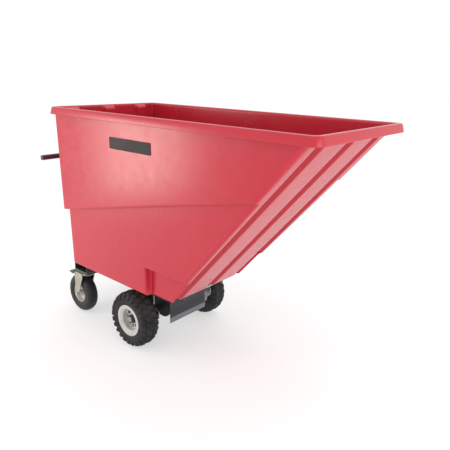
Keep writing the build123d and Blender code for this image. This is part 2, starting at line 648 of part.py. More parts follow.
# ---------------------------------------------------------------- power
def build_battery_pack():
    """Folded tray between the rails with two batteries lying on their sides, and their terminals."""
    tray_length = BATTERY_LENGTH + 24
    middle_x = AXLE_X + BATTERY_X
    battery_y = BATTERY_WIDTH / 2 + 1
    with BuildPart() as tray:
        with BuildSketch(Plane.XY.offset(TRAY_FLOOR_Z)):
            with Locations((middle_x, 0)):
                Rectangle(tray_length, 2 * RAIL_IN_Y)
        extrude(amount=BATTERY_HEIGHT * 0.8)
        with BuildSketch(Plane.XY.offset(TRAY_FLOOR_Z + SHEET)):
            with Locations((middle_x, 0)):
                Rectangle(tray_length - 2 * SHEET, 2 * RAIL_IN_Y - 2 * SHEET)
        extrude(amount=BATTERY_HEIGHT, mode=Mode.SUBTRACT)
    keep(tray.part, "battery_tray")
    with BuildPart() as batteries:
        with Locations(*[(middle_x, side * battery_y, TRAY_FLOOR_Z + SHEET + BATTERY_HEIGHT / 2)
                         for side in SIDES.values()]):
            Box(BATTERY_LENGTH, BATTERY_WIDTH, BATTERY_HEIGHT)
    keep(batteries.part, "batteries")
    with BuildPart() as posts:
        with BuildSketch(Plane.XY.offset(TRAY_FLOOR_Z + SHEET + BATTERY_HEIGHT)):
            with Locations(*[(middle_x + end * BATTERY_LENGTH / 3, side * battery_y)
                             for side in SIDES.values() for end in (-1, 1)]):
                Circle(7)
        extrude(amount=9)
    keep(posts.part, "battery_terminals")


def build_controller():
    """Motor controller under a strap that spans the rails."""
    strap, case_height = 4.0, 38.0
    x, width = AXLE_X + CONTROLLER_X, 30.0
    with BuildPart() as controller:
        with Locations((x, 0, FRAME_TOP_Z - strap / 2)):
            Box(width, 2 * RAIL_IN_Y, strap)
        with Locations((x, 0, FRAME_TOP_Z - strap - case_height / 2)):
            Box(width, 170, case_height)
    keep(controller.part, "motor_controller")


# ---------------------------------------------------------------- drive wheels
def turned(points, x, z, side, y):
    """Turn one outline, given as (outward offset, radius) pairs, about a wheel's axle."""
    with BuildPart() as solid:
        with BuildSketch(Plane.YZ.offset(x)):
            with BuildLine():
                Polyline(*[(side * (y + out), z + radius) for out, radius in points], close=True)
            make_face()
        revolve(axis=axis_y(x, z))
    return solid.part


def build_drive_tyre(name, side):
    half = TYRE_WIDTH / 2
    bead = half - 8
    shoulder = WHEEL_RADIUS - 12
    with BuildPart() as tyre:
        with BuildSketch(Plane.YZ.offset(AXLE_X)):
            with BuildLine():
                for end in (-1, 1):
                    edge = [(bead, FLANGE_RADIUS + 1), (half, FLANGE_RADIUS + 29), (half - 10, shoulder)]
                    Spline(*[(side * (WHEEL_Y + end * out), WHEEL_RADIUS + radius) for out, radius in edge],
                           tangents=((0, 1), (-side * end * 0.5, 1)))
                crown = [(half - 10, shoulder), (half - 22, WHEEL_RADIUS), (22 - half, WHEEL_RADIUS),
                         (10 - half, shoulder)]
                Polyline(*[(side * (WHEEL_Y + out), WHEEL_RADIUS + radius) for out, radius in crown])
                seat = [(bead, FLANGE_RADIUS + 1), (bead, BEAD_RADIUS), (-bead, BEAD_RADIUS),
                        (-bead, FLANGE_RADIUS + 1)]
                Polyline(*[(side * (WHEEL_Y + out), WHEEL_RADIUS + radius) for out, radius in seat])
            make_face()
        revolve(axis=axis_y(AXLE_X, WHEEL_RADIUS))
    keep(tyre.part, f"drive_tyre_{name}")


def build_drive_wheel(name, side):
    """Pressed rim, hub, wheel nuts and axle shaft of one driven wheel."""
    steel = RIM_STEEL
    bead = TYRE_WIDTH / 2 - 8
    disc = bead - DISC_RECESS
    disc_y = side * (WHEEL_Y + disc)
    hub_radius = 26.0
    barrel = [(-bead - steel, FLANGE_RADIUS), (-bead, FLANGE_RADIUS), (-bead, BEAD_RADIUS),
              (bead, BEAD_RADIUS),
              (bead, FLANGE_RADIUS), (bead + steel, FLANGE_RADIUS), (bead + steel, BEAD_RADIUS - 4),
              (bead - 8, BEAD_RADIUS - 14), (disc + steel, BEAD_RADIUS - 16), (disc + steel, hub_radius),
              (disc, hub_radius), (disc, BEAD_RADIUS - 14), (disc - 6, BEAD_RADIUS - steel),
              (-bead - steel, BEAD_RADIUS - steel)]
    with BuildPart() as rim:
        add(turned(barrel, AXLE_X, WHEEL_RADIUS, side, WHEEL_Y))
        with BuildSketch(side_plane(disc_y - 10, disc_y + 10)):
            with Locations((AXLE_X, WHEEL_RADIUS)):
                with PolarLocations(LUG_RADIUS, LUG_COUNT, start_angle=180 / LUG_COUNT):
                    SlotOverall(30, 17, rotation=90)
                with PolarLocations(LUG_RADIUS, LUG_COUNT):
                    Circle(STUD_RADIUS + CLEAR)
        extrude(amount=20, mode=Mode.SUBTRACT)
    keep(rim.part, f"drive_rim_{name}")

    plate = hub_radius + 28
    hub_inner = RAIL_OUT_Y + BRACKET_PLATE + CLEAR - WHEEL_Y
    hub = [(hub_inner, SHAFT_RADIUS), (hub_inner, 22), (disc - 8, 24), (disc - 8, plate), (disc, plate),
           (disc, hub_radius - CLEAR), (disc + 14, hub_radius - CLEAR), (disc + 14, SHAFT_RADIUS)]
    with BuildPart() as wheel_hub:
        add(turned(hub, AXLE_X, WHEEL_RADIUS, side, WHEEL_Y))
        with BuildSketch(side_plane(disc_y - 20, disc_y + 20)):
            with Locations((AXLE_X, WHEEL_RADIUS)):
                with PolarLocations(LUG_RADIUS, LUG_COUNT):
                    Circle(STUD_RADIUS)
        extrude(amount=40, mode=Mode.SUBTRACT)
    keep(wheel_hub.part, f"drive_hub_{name}")

    nut_y = disc_y + side * steel
    with BuildPart() as nuts:
        for start_y, end_y, nut in ((nut_y, nut_y + side * 8, True),
                                    (nut_y + side * 11, disc_y - side * 8, False)):
            with BuildSketch(side_plane(start_y, end_y)):
                with Locations((AXLE_X, WHEEL_RADIUS)):
                    with PolarLocations(LUG_RADIUS, LUG_COUNT):
                        if nut:
                            RegularPolygon(STUD_RADIUS + 4, 6)
                        else:
                            Circle(STUD_RADIUS)
            extrude(amount=abs(end_y - start_y))
    keep(nuts.part, f"wheel_nuts_{name}")

    nut_low, nut_high = side * (WHEEL_Y + disc + 14), side * (WHEEL_Y + disc + 22)
    with BuildPart() as shaft:
        add(round_bar(SHAFT_RADIUS, (AXLE_X, side * 4, WHEEL_RADIUS),
                      (AXLE_X, nut_high + side * 4, WHEEL_RADIUS)))
        with BuildSketch(side_plane(nut_low, nut_high)):
            with Locations((AXLE_X, WHEEL_RADIUS)):
                RegularPolygon(SHAFT_RADIUS + 5, 6)
        extrude(amount=abs(nut_high - nut_low))
    keep(shaft.part, f"axle_shaft_{name}")


# ---------------------------------------------------------------- casters
def caster_bolt_grid():
    return GridLocations(CASTER_BOLT_X, CASTER_BOLT_Y, 2, 2)


def build_caster_mount(name, side):
    """Top plate with the upper bearing race, kingpin and the nut that holds the fork up."""
    y = side * CASTER_Y
    swivel_x = AXLE_X + CASTER_X
    with BuildPart() as plate:
        with BuildSketch(Plane.XY.offset(CASTER_PLATE_LOW_Z)):
            with Locations((swivel_x, y)):
                RectangleRounded(CASTER_PLATE_LENGTH, CASTER_PLATE_WIDTH, 8)
        extrude(amount=CASTER_PLATE)
        for radius, depth in ((RACE_RADIUS, RACE_DEPTH), (KINGPIN_RADIUS, KINGPIN_REACH)):
            with BuildSketch(Plane.XY.offset(CASTER_PLATE_LOW_Z)):
                with Locations((swivel_x, y)):
                    Circle(radius)
            extrude(amount=-depth)
        with BuildSketch(Plane.XY.offset(FORK_CROWN_LOW_Z - CLEAR)):
            with Locations((swivel_x, y)):
                RegularPolygon(KINGPIN_RADIUS + 6, 6)
        extrude(amount=FORK_CROWN_LOW_Z - CLEAR - CASTER_PLATE_LOW_Z + KINGPIN_REACH, dir=(0, 0, -1))
    keep(plate.part, f"caster_plate_{name}")


def build_caster_bolts():
    """Hexagon heads under the four corners of both caster plates."""
    with BuildPart() as bolts:
        with BuildSketch(Plane.XY.offset(CASTER_PLATE_LOW_Z)):
            for side in SIDES.values():
                with Locations((AXLE_X + CASTER_X, side * CASTER_Y)):
                    with caster_bolt_grid():
                        RegularPolygon(8.5, 6)
        extrude(amount=-8)
    keep(bolts.part, "caster_bolts")


def build_caster_fork(name, side):
    y = side * CASTER_Y
    swivel_x = AXLE_X + CASTER_X
    crown_reach = 52.0
    with BuildPart() as fork:
        with BuildSketch(Plane.XY.offset(FORK_CROWN_LOW_Z)):
            with Locations((swivel_x, y)):
                Circle(RACE_RADIUS + 6)
            with Locations((swivel_x - crown_reach / 2, y)):
                Rectangle(crown_reach, 2 * FORK_HALF)
            with Locations((swivel_x, y)):
                Circle(KINGPIN_RADIUS + PIN_CLEAR, mode=Mode.SUBTRACT)
        extrude(amount=CROWN_DEPTH)
        for leg in (-1, 1):
            inner, outer = y + leg * (FORK_HALF - FORK_STEEL), y + leg * FORK_HALF
            with BuildSketch(side_plane(inner, outer)):
                with BuildLine():
                    Polyline((swivel_x - crown_reach, FORK_CROWN_TOP_Z), (swivel_x, FORK_CROWN_TOP_Z),
                             (swivel_x, FORK_CROWN_LOW_Z - 26), (CASTER_AXLE_X + 17, CASTER_RADIUS),
                             (CASTER_AXLE_X - 17, CASTER_RADIUS), (PEDAL_X - 11, PEDAL_Z),
                             (PEDAL_X - 4, PEDAL_Z + 11),
                             close=True)
                make_face()
                with Locations((CASTER_AXLE_X, CASTER_RADIUS)):
                    Circle(17)
                    Circle(CASTER_BOLT_RADIUS, mode=Mode.SUBTRACT)
                with Locations((PEDAL_X, PEDAL_Z)):
                    Circle(11)
                    Circle(PEDAL_PIN + PIN_CLEAR, mode=Mode.SUBTRACT)
            extrude(amount=FORK_STEEL)
    keep(fork.part, f"caster_fork_{name}")


def build_caster_wheel(name, side):
    y = side * CASTER_Y
    half = CASTER_TYRE_WIDTH / 2
    bead = half - 10
    with BuildPart() as tyre:
        with BuildSketch(Plane.YZ.offset(CASTER_AXLE_X)):
            with BuildLine():
                seat = [(bead, CASTER_FLANGE), (bead, CASTER_BEAD), (-bead, CASTER_BEAD),
                        (-bead, CASTER_FLANGE)]
                Polyline(*[(y + out, CASTER_RADIUS + radius) for out, radius in seat])
                crown = [(-bead, CASTER_FLANGE), (-half, CASTER_RADIUS - 33),
                         (8 - half, CASTER_RADIUS - 10)]
                for end in (-1, 1):
                    Spline(*[(y - end * out, CASTER_RADIUS + radius) for out, radius in crown],
                           tangents=((0, 1), (end * 0.7, 1)))
                ThreePointArc((y - half + 8, 2 * CASTER_RADIUS - 10), (y, 2 * CASTER_RADIUS),
                              (y + half - 8, 2 * CASTER_RADIUS - 10))
            make_face()
        revolve(axis=axis_y(CASTER_AXLE_X, CASTER_RADIUS))
    keep(tyre.part, f"caster_tyre_{name}")
    hub_half = FORK_HALF - FORK_STEEL - CLEAR
    hub_radius = 22.0
    bore = CASTER_BOLT_RADIUS + PIN_CLEAR
    rim = [(-bead - 3, CASTER_FLANGE), (-bead, CASTER_FLANGE), (-bead, CASTER_BEAD), (bead, CASTER_BEAD),
           (bead, CASTER_FLANGE), (bead + 3, CASTER_FLANGE), (bead + 3, CASTER_BEAD - 4),
           (6, CASTER_BEAD - 12),
           (4, hub_radius), (hub_half, hub_radius - 4), (hub_half, bore), (-hub_half, bore),
           (-hub_half, hub_radius - 4), (-4, hub_radius), (-6, CASTER_BEAD - 12),
           (-bead - 3, CASTER_BEAD - 4)]
    keep(turned(rim, CASTER_AXLE_X, CASTER_RADIUS, 1, y), f"caster_rim_{name}")


def build_caster_axle(name, side):
    y = side * CASTER_Y
    with BuildPart() as bolt:
        add(round_bar(CASTER_BOLT_RADIUS, (CASTER_AXLE_X, y - FORK_HALF, CASTER_RADIUS),
                      (CASTER_AXLE_X, y + FORK_HALF, CASTER_RADIUS)))
        for end in (-1, 1):
            inner, outer = y + end * FORK_HALF, y + end * (FORK_HALF + 8)
            with BuildSketch(side_plane(inner, outer)):
                with Locations((CASTER_AXLE_X, CASTER_RADIUS)):
                    RegularPolygon(CASTER_BOLT_RADIUS + 5, 6)
            extrude(amount=8)
    keep(bolt.part, f"caster_axle_bolt_{name}")


def build_brake_pedal(name, side):
    """Foot pedal on a cross tube between the fork legs; it swings down behind the tyre."""
    y = side * CASTER_Y
    tube_half = FORK_HALF - FORK_STEEL - CLEAR
    width = 50.0
    tip_x, tip_z = PEDAL_X - 113, PEDAL_Z - 26
    with BuildPart() as pedal:
        add(round_bar(7, (PEDAL_X, y - tube_half, PEDAL_Z), (PEDAL_X, y + tube_half, PEDAL_Z)))
        add(round_bar(PEDAL_PIN, (PEDAL_X, y - FORK_HALF - 2, PEDAL_Z),
                      (PEDAL_X, y + FORK_HALF + 2, PEDAL_Z)))
        with BuildSketch(side_plane(y - width / 2, y + width / 2)):
            with BuildLine():
                Polyline((PEDAL_X, PEDAL_Z + 4), (PEDAL_X, PEDAL_Z - 1), (tip_x + 40, tip_z - 1),
                         (tip_x, tip_z + 4),
                         (tip_x, tip_z + 9), (tip_x + 40, tip_z + 4), close=True)
            make_face()
        extrude(amount=width)
    keep(pedal.part, f"brake_pedal_{name}")


# ---------------------------------------------------------------- handle and controls
def build_handle():
    foot = (REAR_BEAM_X - REAR_BEAM_DEPTH / 2 - UPRIGHT_RADIUS, FRAME_LOW_Z)
    knee = (foot[0], BAR_Z - 170)
    for name, side in SIDES.items():
        y = side * UPRIGHT_Y
        with BuildPart() as upright:
            with BuildLine() as path:
                FilletPolyline((foot[0], y, foot[1]), (knee[0], y, knee[1]), (BAR_X, y, BAR_Z),
                               radius=HANDLE_BEND)
            with BuildSketch(Plane(origin=(foot[0], y, foot[1]), z_dir=(0, 0, 1))):
                Circle(UPRIGHT_RADIUS)
            sweep(path=path.wires()[0])
            add(round_bar(BAR_RADIUS, (BAR_X, y - 40, BAR_Z), (BAR_X, y + 40, BAR_Z)), mode=Mode.SUBTRACT)
            behind_bar = [solid for solid in upright.solids() if solid.center().Z > BAR_Z]
            add(behind_bar, mode=Mode.SUBTRACT)
        keep(upright.part, f"handle_upright_{name}")
    bar = round_bar(BAR_RADIUS, (BAR_X, -BAR_HALF_LENGTH, BAR_Z), (BAR_X, BAR_HALF_LENGTH, BAR_Z),
                    BAR_RADIUS - 3)
    keep(bar, "handlebar")


def build_grips():
    """A fixed grip on the left end of the bar and the throttle that turns on its right end."""
    for name, side, bore in (("grip_left", 1, BAR_RADIUS), ("throttle_grip", -1, BAR_RADIUS + PIN_CLEAR)):
        end_y = side * (BAR_HALF_LENGTH + CLEAR)
        with BuildPart() as grip:
            add(round_bar(GRIP_RADIUS, (BAR_X, end_y - side * GRIP_LENGTH, BAR_Z),
                          (BAR_X, end_y + side * GRIP_CAP, BAR_Z)))
            rims = grip.edges().filter_by(GeomType.CIRCLE)
            fillet(rims, 2.5)
            add(round_bar(bore, (BAR_X, end_y - side * 2 * GRIP_LENGTH, BAR_Z), (BAR_X, end_y, BAR_Z)),
                mode=Mode.SUBTRACT)
        keep(grip.part, name)


def control_face(along=0.0, across=0.0, height=0.0):
    """A plane on the console's sloping face: along runs to the right, across runs down the slope."""
    tilt = radians(CONSOLE_TILT)
    outward = Vector(-sin(tilt), 0, cos(tilt))
    downhill = Vector(-cos(tilt), 0, -sin(tilt))
    middle = Vector(CONSOLE_X, 0, CONSOLE_FACE_Z)
    origin = middle + Vector(0, -along, 0) + downhill * across + outward * height
    return Plane(origin=origin, x_dir=(0, -1, 0), z_dir=outward)


def build_control_box():
    """Console in front of the bar, on two clamps that ring the bar."""
    rear, front = CONSOLE_X - CONSOLE_DEPTH / 2, CONSOLE_X + CONSOLE_DEPTH / 2
    drop = CONSOLE_DEPTH / 2 * tan(radians(CONSOLE_TILT))
    low = CONSOLE_FACE_Z - CONSOLE_HEIGHT
    with BuildPart() as box:
        with BuildSketch(side_plane(-CONSOLE_HALF, CONSOLE_HALF)):
            with BuildLine():
                Polyline((rear, low), (front, low), (front, CONSOLE_FACE_Z + drop),
                         (rear, CONSOLE_FACE_Z - drop),
                         close=True)
            make_face()
        extrude(amount=2 * CONSOLE_HALF)
        fillet(box.edges().filter_by(Axis.Y), 4)
        for side in SIDES.values():
            with BuildSketch(side_plane(side * CLAMP_Y - 10, side * CLAMP_Y + 10)):
                with Locations((BAR_X, BAR_Z)):
                    Circle(BAR_RADIUS + 6)
                with Locations(((BAR_X + CONSOLE_X) / 2, BAR_Z)):
                    Rectangle(CONSOLE_X - BAR_X, BAR_RADIUS)
            extrude(amount=20)
        add(round_bar(BAR_RADIUS, (BAR_X, -CONSOLE_HALF, BAR_Z), (BAR_X, CONSOLE_HALF, BAR_Z)),
            mode=Mode.SUBTRACT)
        for along, radius, depth in ((STOP_ALONG, STOP_STEM + CLEAR, STOP_DEPTH),
                                     (KEY_ALONG, KEY_RADIUS + CLEAR, 16)):
            with BuildSketch(control_face(along)):
                Circle(radius)
            extrude(amount=-depth, mode=Mode.SUBTRACT)
        with BuildSketch(control_face(ROCKER_ALONG)):
            Rectangle(ROCKER_WIDTH + 2 * CLEAR, ROCKER_LENGTH + 3)
        extrude(amount=-14, mode=Mode.SUBTRACT)
        with BuildSketch(control_face(GAUGE_ALONG)):
            RectangleRounded(GAUGE_LENGTH, GAUGE_WIDTH, 3)
        extrude(amount=-2, mode=Mode.SUBTRACT)
    keep(box.part, "control_box")


def build_controls():
    """Stop button, key switch, battery gauge and forward-reverse rocker on the control face."""
    with BuildPart() as stop:
        with BuildSketch(control_face(STOP_ALONG, height=-STOP_DEPTH + STOP_TRAVEL + 1)):
            Circle(STOP_STEM)
        extrude(amount=STOP_DEPTH)
        with BuildSketch(control_face(STOP_ALONG, height=STOP_TRAVEL + 1)):
            Circle(STOP_HEAD)
        extrude(amount=12)
        fillet(stop.faces().sort_by(Axis.Z)[-1].edges(), 4)
    keep(stop.part, "stop_button")

    with BuildPart() as key:
        with BuildSketch(control_face(KEY_ALONG, height=-14)):
            Circle(KEY_RADIUS)
        extrude(amount=17)
        with BuildSketch(control_face(KEY_ALONG, height=3)):
            RectangleRounded(3, 8, 1)
        extrude(amount=9)
        with BuildSketch(control_face(KEY_ALONG, height=12)):
            RectangleRounded(4, 22, 1.8)
        extrude(amount=18)
    keep(key.part, "key_switch")

    with BuildPart() as gauge:
        with BuildSketch(control_face(GAUGE_ALONG, height=-2)):
            RectangleRounded(GAUGE_LENGTH, GAUGE_WIDTH, 3)
        extrude(amount=3)
    keep(gauge.part, "battery_gauge")

    face = control_face(ROCKER_ALONG)
    with BuildPart() as rocker:
        with BuildSketch(Plane(origin=face.origin + face.x_dir * (ROCKER_WIDTH / 2), x_dir=face.y_dir,
                               z_dir=face.x_dir)):
            with BuildLine():
                Polyline((-ROCKER_LENGTH / 2, 2), (0, -10), (ROCKER_LENGTH / 2, 2),
                         (ROCKER_LENGTH / 2 - 1, 5),
                         (0, 2.5), (1 - ROCKER_LENGTH / 2, 5), close=True)
            make_face()
        extrude(amount=-ROCKER_WIDTH)
    keep(rocker.part, "direction_rocker")


if __name__ == "__main__":
    build_hopper()
    build_mount_plate()
    build_pivot_ears()
    build_floor_bolts()
    build_side_labels()
    build_frame()
    build_pivot()
    build_axle_brackets()
    build_gear_train()
    build_gearbox()
    build_axle_tubes()
    build_motor()
    build_cover()
    build_battery_pack()
    build_controller()
    build_caster_bolts()
    for side_name, side_sign in SIDES.items():
        build_drive_tyre(side_name, side_sign)
        build_drive_wheel(side_name, side_sign)
        build_caster_mount(side_name, side_sign)
        build_caster_fork(side_name, side_sign)
        build_caster_wheel(side_name, side_sign)
        build_caster_axle(side_name, side_sign)
        build_brake_pedal(side_name, side_sign)
    build_handle()
    build_grips()
    build_control_box()
    build_controls()
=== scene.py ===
"""Looks of a powered tilt truck: red moulded hopper, block-tread wheels, casters and push bar.

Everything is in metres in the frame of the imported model: +X towards the chute, +Y left, +Z up.
"""

import json
import logging
import math
from dataclasses import dataclass
from enum import Enum

import bpy
import numpy as np
from mathutils import Matrix, Vector


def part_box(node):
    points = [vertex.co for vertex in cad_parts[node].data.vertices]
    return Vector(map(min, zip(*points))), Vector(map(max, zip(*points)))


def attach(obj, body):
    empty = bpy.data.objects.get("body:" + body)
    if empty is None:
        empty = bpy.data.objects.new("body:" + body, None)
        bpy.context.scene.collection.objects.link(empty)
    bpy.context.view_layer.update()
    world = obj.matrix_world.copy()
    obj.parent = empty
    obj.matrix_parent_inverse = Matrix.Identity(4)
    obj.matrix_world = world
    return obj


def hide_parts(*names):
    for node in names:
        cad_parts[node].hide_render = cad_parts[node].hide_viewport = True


LOG = logging.getLogger("tilt_truck")
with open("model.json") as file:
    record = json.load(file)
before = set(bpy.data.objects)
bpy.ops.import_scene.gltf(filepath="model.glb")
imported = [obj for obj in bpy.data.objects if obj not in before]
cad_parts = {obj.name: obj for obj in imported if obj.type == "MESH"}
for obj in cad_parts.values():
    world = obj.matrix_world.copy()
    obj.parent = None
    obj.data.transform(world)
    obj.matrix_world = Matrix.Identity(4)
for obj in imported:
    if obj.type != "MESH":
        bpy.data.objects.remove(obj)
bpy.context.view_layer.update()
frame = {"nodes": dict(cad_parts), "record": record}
MM = 0.001
GUARD_PAINTED_SHADE_TOP = 0.161    # metres; above this level the guard strip is painted near black as painted shade under the hood
PAINTED_SHADE_EDGE = 0.0015          # metres over which the paint fades into that painted shade


# ------------------------------------------------------------------ helpers
def soft_step(value: np.ndarray, softness: float = 0.012) -> np.ndarray:
    """Ramp from 0 to 1 as value goes from 0 to 1, with rounded ends.

    The ramp is half the difference of two hyperbola branches, sqrt(t^2 + s) and sqrt((t - 1)^2 + s).

    Args:
        value: position along the ramp.
        softness: how far the two ends are rounded.

    Returns:
        The height of the ramp, the same shape as value.
    """
    t = np.asarray(value, dtype=float)
    return np.clip(0.5 * (np.sqrt(t * t + softness) - np.sqrt((t - 1) ** 2 + softness) + 1), 0, 1)


def mesh_object(name: str, verts: np.ndarray, faces: list | np.ndarray,
                smooth: bool = True) -> bpy.types.Object:
    """Put points and faces into a new object that stands at the origin.

    Args:
        name: name of the piece.
        verts: points in metres, one row each.
        faces: tuples or rows of point numbers.
        smooth: shade the faces smooth.

    Returns:
        The linked object.
    """
    mesh = bpy.data.meshes.new(name)
    mesh.from_pydata(np.asarray(verts).tolist(), [], [tuple(int(i) for i in f) for f in faces])
    mesh.validate()
    mesh.polygons.foreach_set("use_smooth", np.full(len(mesh.polygons), smooth))
    mesh.update()
    piece = bpy.data.objects.new(name, mesh)
    bpy.context.scene.collection.objects.link(piece)
    return piece


def loop_surface(name: str, loops: np.ndarray, closed_rows: bool = False) -> bpy.types.Object:
    """Skin a stack of closed loops; the first and last loop close on their own middle point.

    Args:
        name: name of the piece.
        loops: points as (rows, columns, 3); each row is one closed loop.
        closed_rows: join the last loop to the first, as on a ring, with no end caps.

    Returns:
        The closed surface, with its faces outwards.
    """
    rows, cols, _ = loops.shape
    index = np.arange(rows * cols).reshape(rows, cols)
    upper = np.roll(index, -1, axis=0) if closed_rows else index[1:]
    lower = index if closed_rows else index[:-1]
    quads = np.stack([lower, np.roll(lower, -1, 1), np.roll(upper, -1, 1), upper], axis=-1).reshape(-1, 4)
    verts = loops.reshape(-1, 3)
    faces = [tuple(q) for q in quads]
    if not closed_rows:
        verts = np.vstack([verts, loops[0].mean(0), loops[-1].mean(0)])
        first, last = rows * cols, rows * cols + 1
        step = np.roll(index, -1, axis=1)
        faces += [(first, b, a) for a, b in zip(index[0], step[0])]
        faces += [(last, a, b) for a, b in zip(index[-1], step[-1])]
    triangles = np.array([(f[0], f[i], f[i + 1]) for f in faces for i in range(1, len(f) - 1)])
    corner = verts[triangles]
    volume = np.einsum("ij,ij->i", corner[:, 0], np.cross(corner[:, 1], corner[:, 2])).sum()
    if volume < 0:
        faces = [f[::-1] for f in faces]
    return mesh_object(name, verts, faces)


# ------------------------------------------------------------------ finishes
class Pattern(Enum):
    """The kinds of fine surface relief that the finishes use."""

    ORANGE_PEEL = "orange_peel"
    GRAIN = "grain"
    BRUSHED = "brushed"
    CAST = "cast"


@dataclass(frozen=True)
class Finish:
    """One material: colour, its variation, gloss, relief and wear.

    Attributes:
        name: name of the material.
        colour: base colour, linear RGB.
        worn: colour that the noise mixes in.
        variation: how much of the worn colour shows, 0 to 1.
        scale: size of the colour variation, in patches per metre.
        roughness: lowest and highest roughness.
        metallic: 1 for bare metal.
        pattern: kind of fine relief.
        relief_scale: relief bumps per metre.
        relief: strength of the relief.
        coat: weight of a clear coat.
        edge_wear: how much the worn colour shows along raised edges.
        dust: how much pale dust lies on upward faces.
        specular: strength of the plain reflection.
        painted_shade_above: level in metres above which the colour is painted near black as painted shade, or
            0 for one colour throughout.
    """

    name: str
    colour: tuple[float, float, float]
    worn: tuple[float, float, float]
    variation: float = 0.25
    scale: float = 6.0
    roughness: tuple[float, float] = (0.35, 0.5)
    metallic: float = 0.0
    pattern: Pattern = Pattern.GRAIN
    relief_scale: float = 900.0
    relief: float = 0.08
    coat: float = 0.0
    edge_wear: float = 0.0
    dust: float = 0.0
    specular: float = 0.5
    painted_shade_above: float = 0.0

    def build(self) -> bpy.types.Material:
        """Make the node material.

        Returns:
            The new material.
        """
        material = bpy.data.materials.new(self.name)
        material.use_nodes = True
        nodes, links = material.node_tree.nodes, material.node_tree.links
        shader = nodes["Principled BSDF"]
        shader.inputs["Metallic"].default_value = self.metallic
        shader.inputs["Coat Weight"].default_value = self.coat
        shader.inputs["Specular IOR Level"].default_value = self.specular
        shader.inputs["Coat Roughness"].default_value = 0.12
        place = nodes.new("ShaderNodeTexCoord")

        def noise(scale: float, detail: float) -> bpy.types.Node:
            """Noise over the piece's own coordinates."""
            node = nodes.new("ShaderNodeTexNoise")
            node.inputs["Scale"].default_value = scale
            node.inputs["Detail"].default_value = detail
            links.new(place.outputs["Object"], node.inputs["Vector"])
            return node

        broad = noise(self.scale, 4.0)
        fine = noise(self.scale * 14, 5.0)
        spread = nodes.new("ShaderNodeMapRange")
        spread.inputs["From Min"].default_value = 0.35
        spread.inputs["From Max"].default_value = 0.75
        spread.inputs["To Max"].default_value = self.variation
        links.new(broad.outputs["Fac"], spread.inputs["Value"])
        amount = spread.outputs["Result"]
        if self.edge_wear:
            geometry = nodes.new("ShaderNodeNewGeometry")
            ridge = nodes.new("ShaderNodeMapRange")
            ridge.inputs["From Min"].default_value = 0.52
            ridge.inputs["From Max"].default_value = 0.62
            ridge.inputs["To Max"].default_value = self.edge_wear
            links.new(geometry.outputs["Pointiness"], ridge.inputs["Value"])
            patchy = nodes.new("ShaderNodeMath")
            patchy.operation = "MULTIPLY"
            links.new(ridge.outputs["Result"], patchy.inputs[0])
            links.new(fine.outputs["Fac"], patchy.inputs[1])
            total = nodes.new("ShaderNodeMath")
            total.operation = "ADD"
            total.use_clamp = True
            links.new(amount, total.inputs[0])
            links.new(patchy.outputs[0], total.inputs[1])
            amount = total.outputs[0]
        tint = nodes.new("ShaderNodeMix")
        tint.data_type = "RGBA"
        tint.inputs["A"].default_value = (*self.colour, 1)
        tint.inputs["B"].default_value = (*self.worn, 1)
        links.new(amount, tint.inputs["Factor"])
        colour = tint.outputs["Result"]
        if self.dust:
            geometry = nodes.new("ShaderNodeNewGeometry")
            split = nodes.new("ShaderNodeSeparateXYZ")
            links.new(geometry.outputs["Normal"], split.inputs[0])
            lying = nodes.new("ShaderNodeMath")
            lying.operation = "MULTIPLY"
            links.new(split.outputs["Z"], lying.inputs[0])
            links.new(fine.outputs["Fac"], lying.inputs[1])
            settle = nodes.new("ShaderNodeMapRange")
            settle.inputs["From Min"].default_value = 0.2
            settle.inputs["From Max"].default_value = 0.7
            settle.inputs["To Max"].default_value = self.dust
            links.new(lying.outputs[0], settle.inputs["Value"])
            dusty = nodes.new("ShaderNodeMix")
            dusty.data_type = "RGBA"
            dusty.inputs["B"].default_value = (0.42, 0.39, 0.35, 1)
            links.new(settle.outputs["Result"], dusty.inputs["Factor"])
            links.new(colour, dusty.inputs["A"])
            colour = dusty.outputs["Result"]
        # Painted shade: above the given level the colour fades to near black, standing in for the shade on the
        # guard's upper part under the hood.
        if self.painted_shade_above:
            height = nodes.new("ShaderNodeSeparateXYZ")
            links.new(place.outputs["Object"], height.inputs[0])
            above = nodes.new("ShaderNodeMapRange")
            above.inputs["From Min"].default_value = self.painted_shade_above
            above.inputs["From Max"].default_value = self.painted_shade_above + PAINTED_SHADE_EDGE
            links.new(height.outputs["Z"], above.inputs["Value"])
            shade_painted_colour = nodes.new("ShaderNodeMix")
            shade_painted_colour.data_type = "RGBA"
            # near-black colour of the painted shade
            shade_painted_colour.inputs["B"].default_value = (0.012, 0.014, 0.017, 1)
            links.new(above.outputs["Result"], shade_painted_colour.inputs["Factor"])
            links.new(colour, shade_painted_colour.inputs["A"])
            colour = shade_painted_colour.outputs["Result"]
        links.new(colour, shader.inputs["Base Color"])
        gloss = nodes.new("ShaderNodeMapRange")
        gloss.inputs["From Min"].default_value = 0.3
        gloss.inputs["From Max"].default_value = 0.7
        gloss.inputs["To Min"].default_value = self.roughness[0]
        gloss.inputs["To Max"].default_value = self.roughness[1]
        links.new(fine.outputs["Fac"], gloss.inputs["Value"])
        links.new(gloss.outputs["Result"], shader.inputs["Roughness"])
        links.new(self.relief_node(nodes, links, place).outputs["Normal"], shader.inputs["Normal"])
        return material

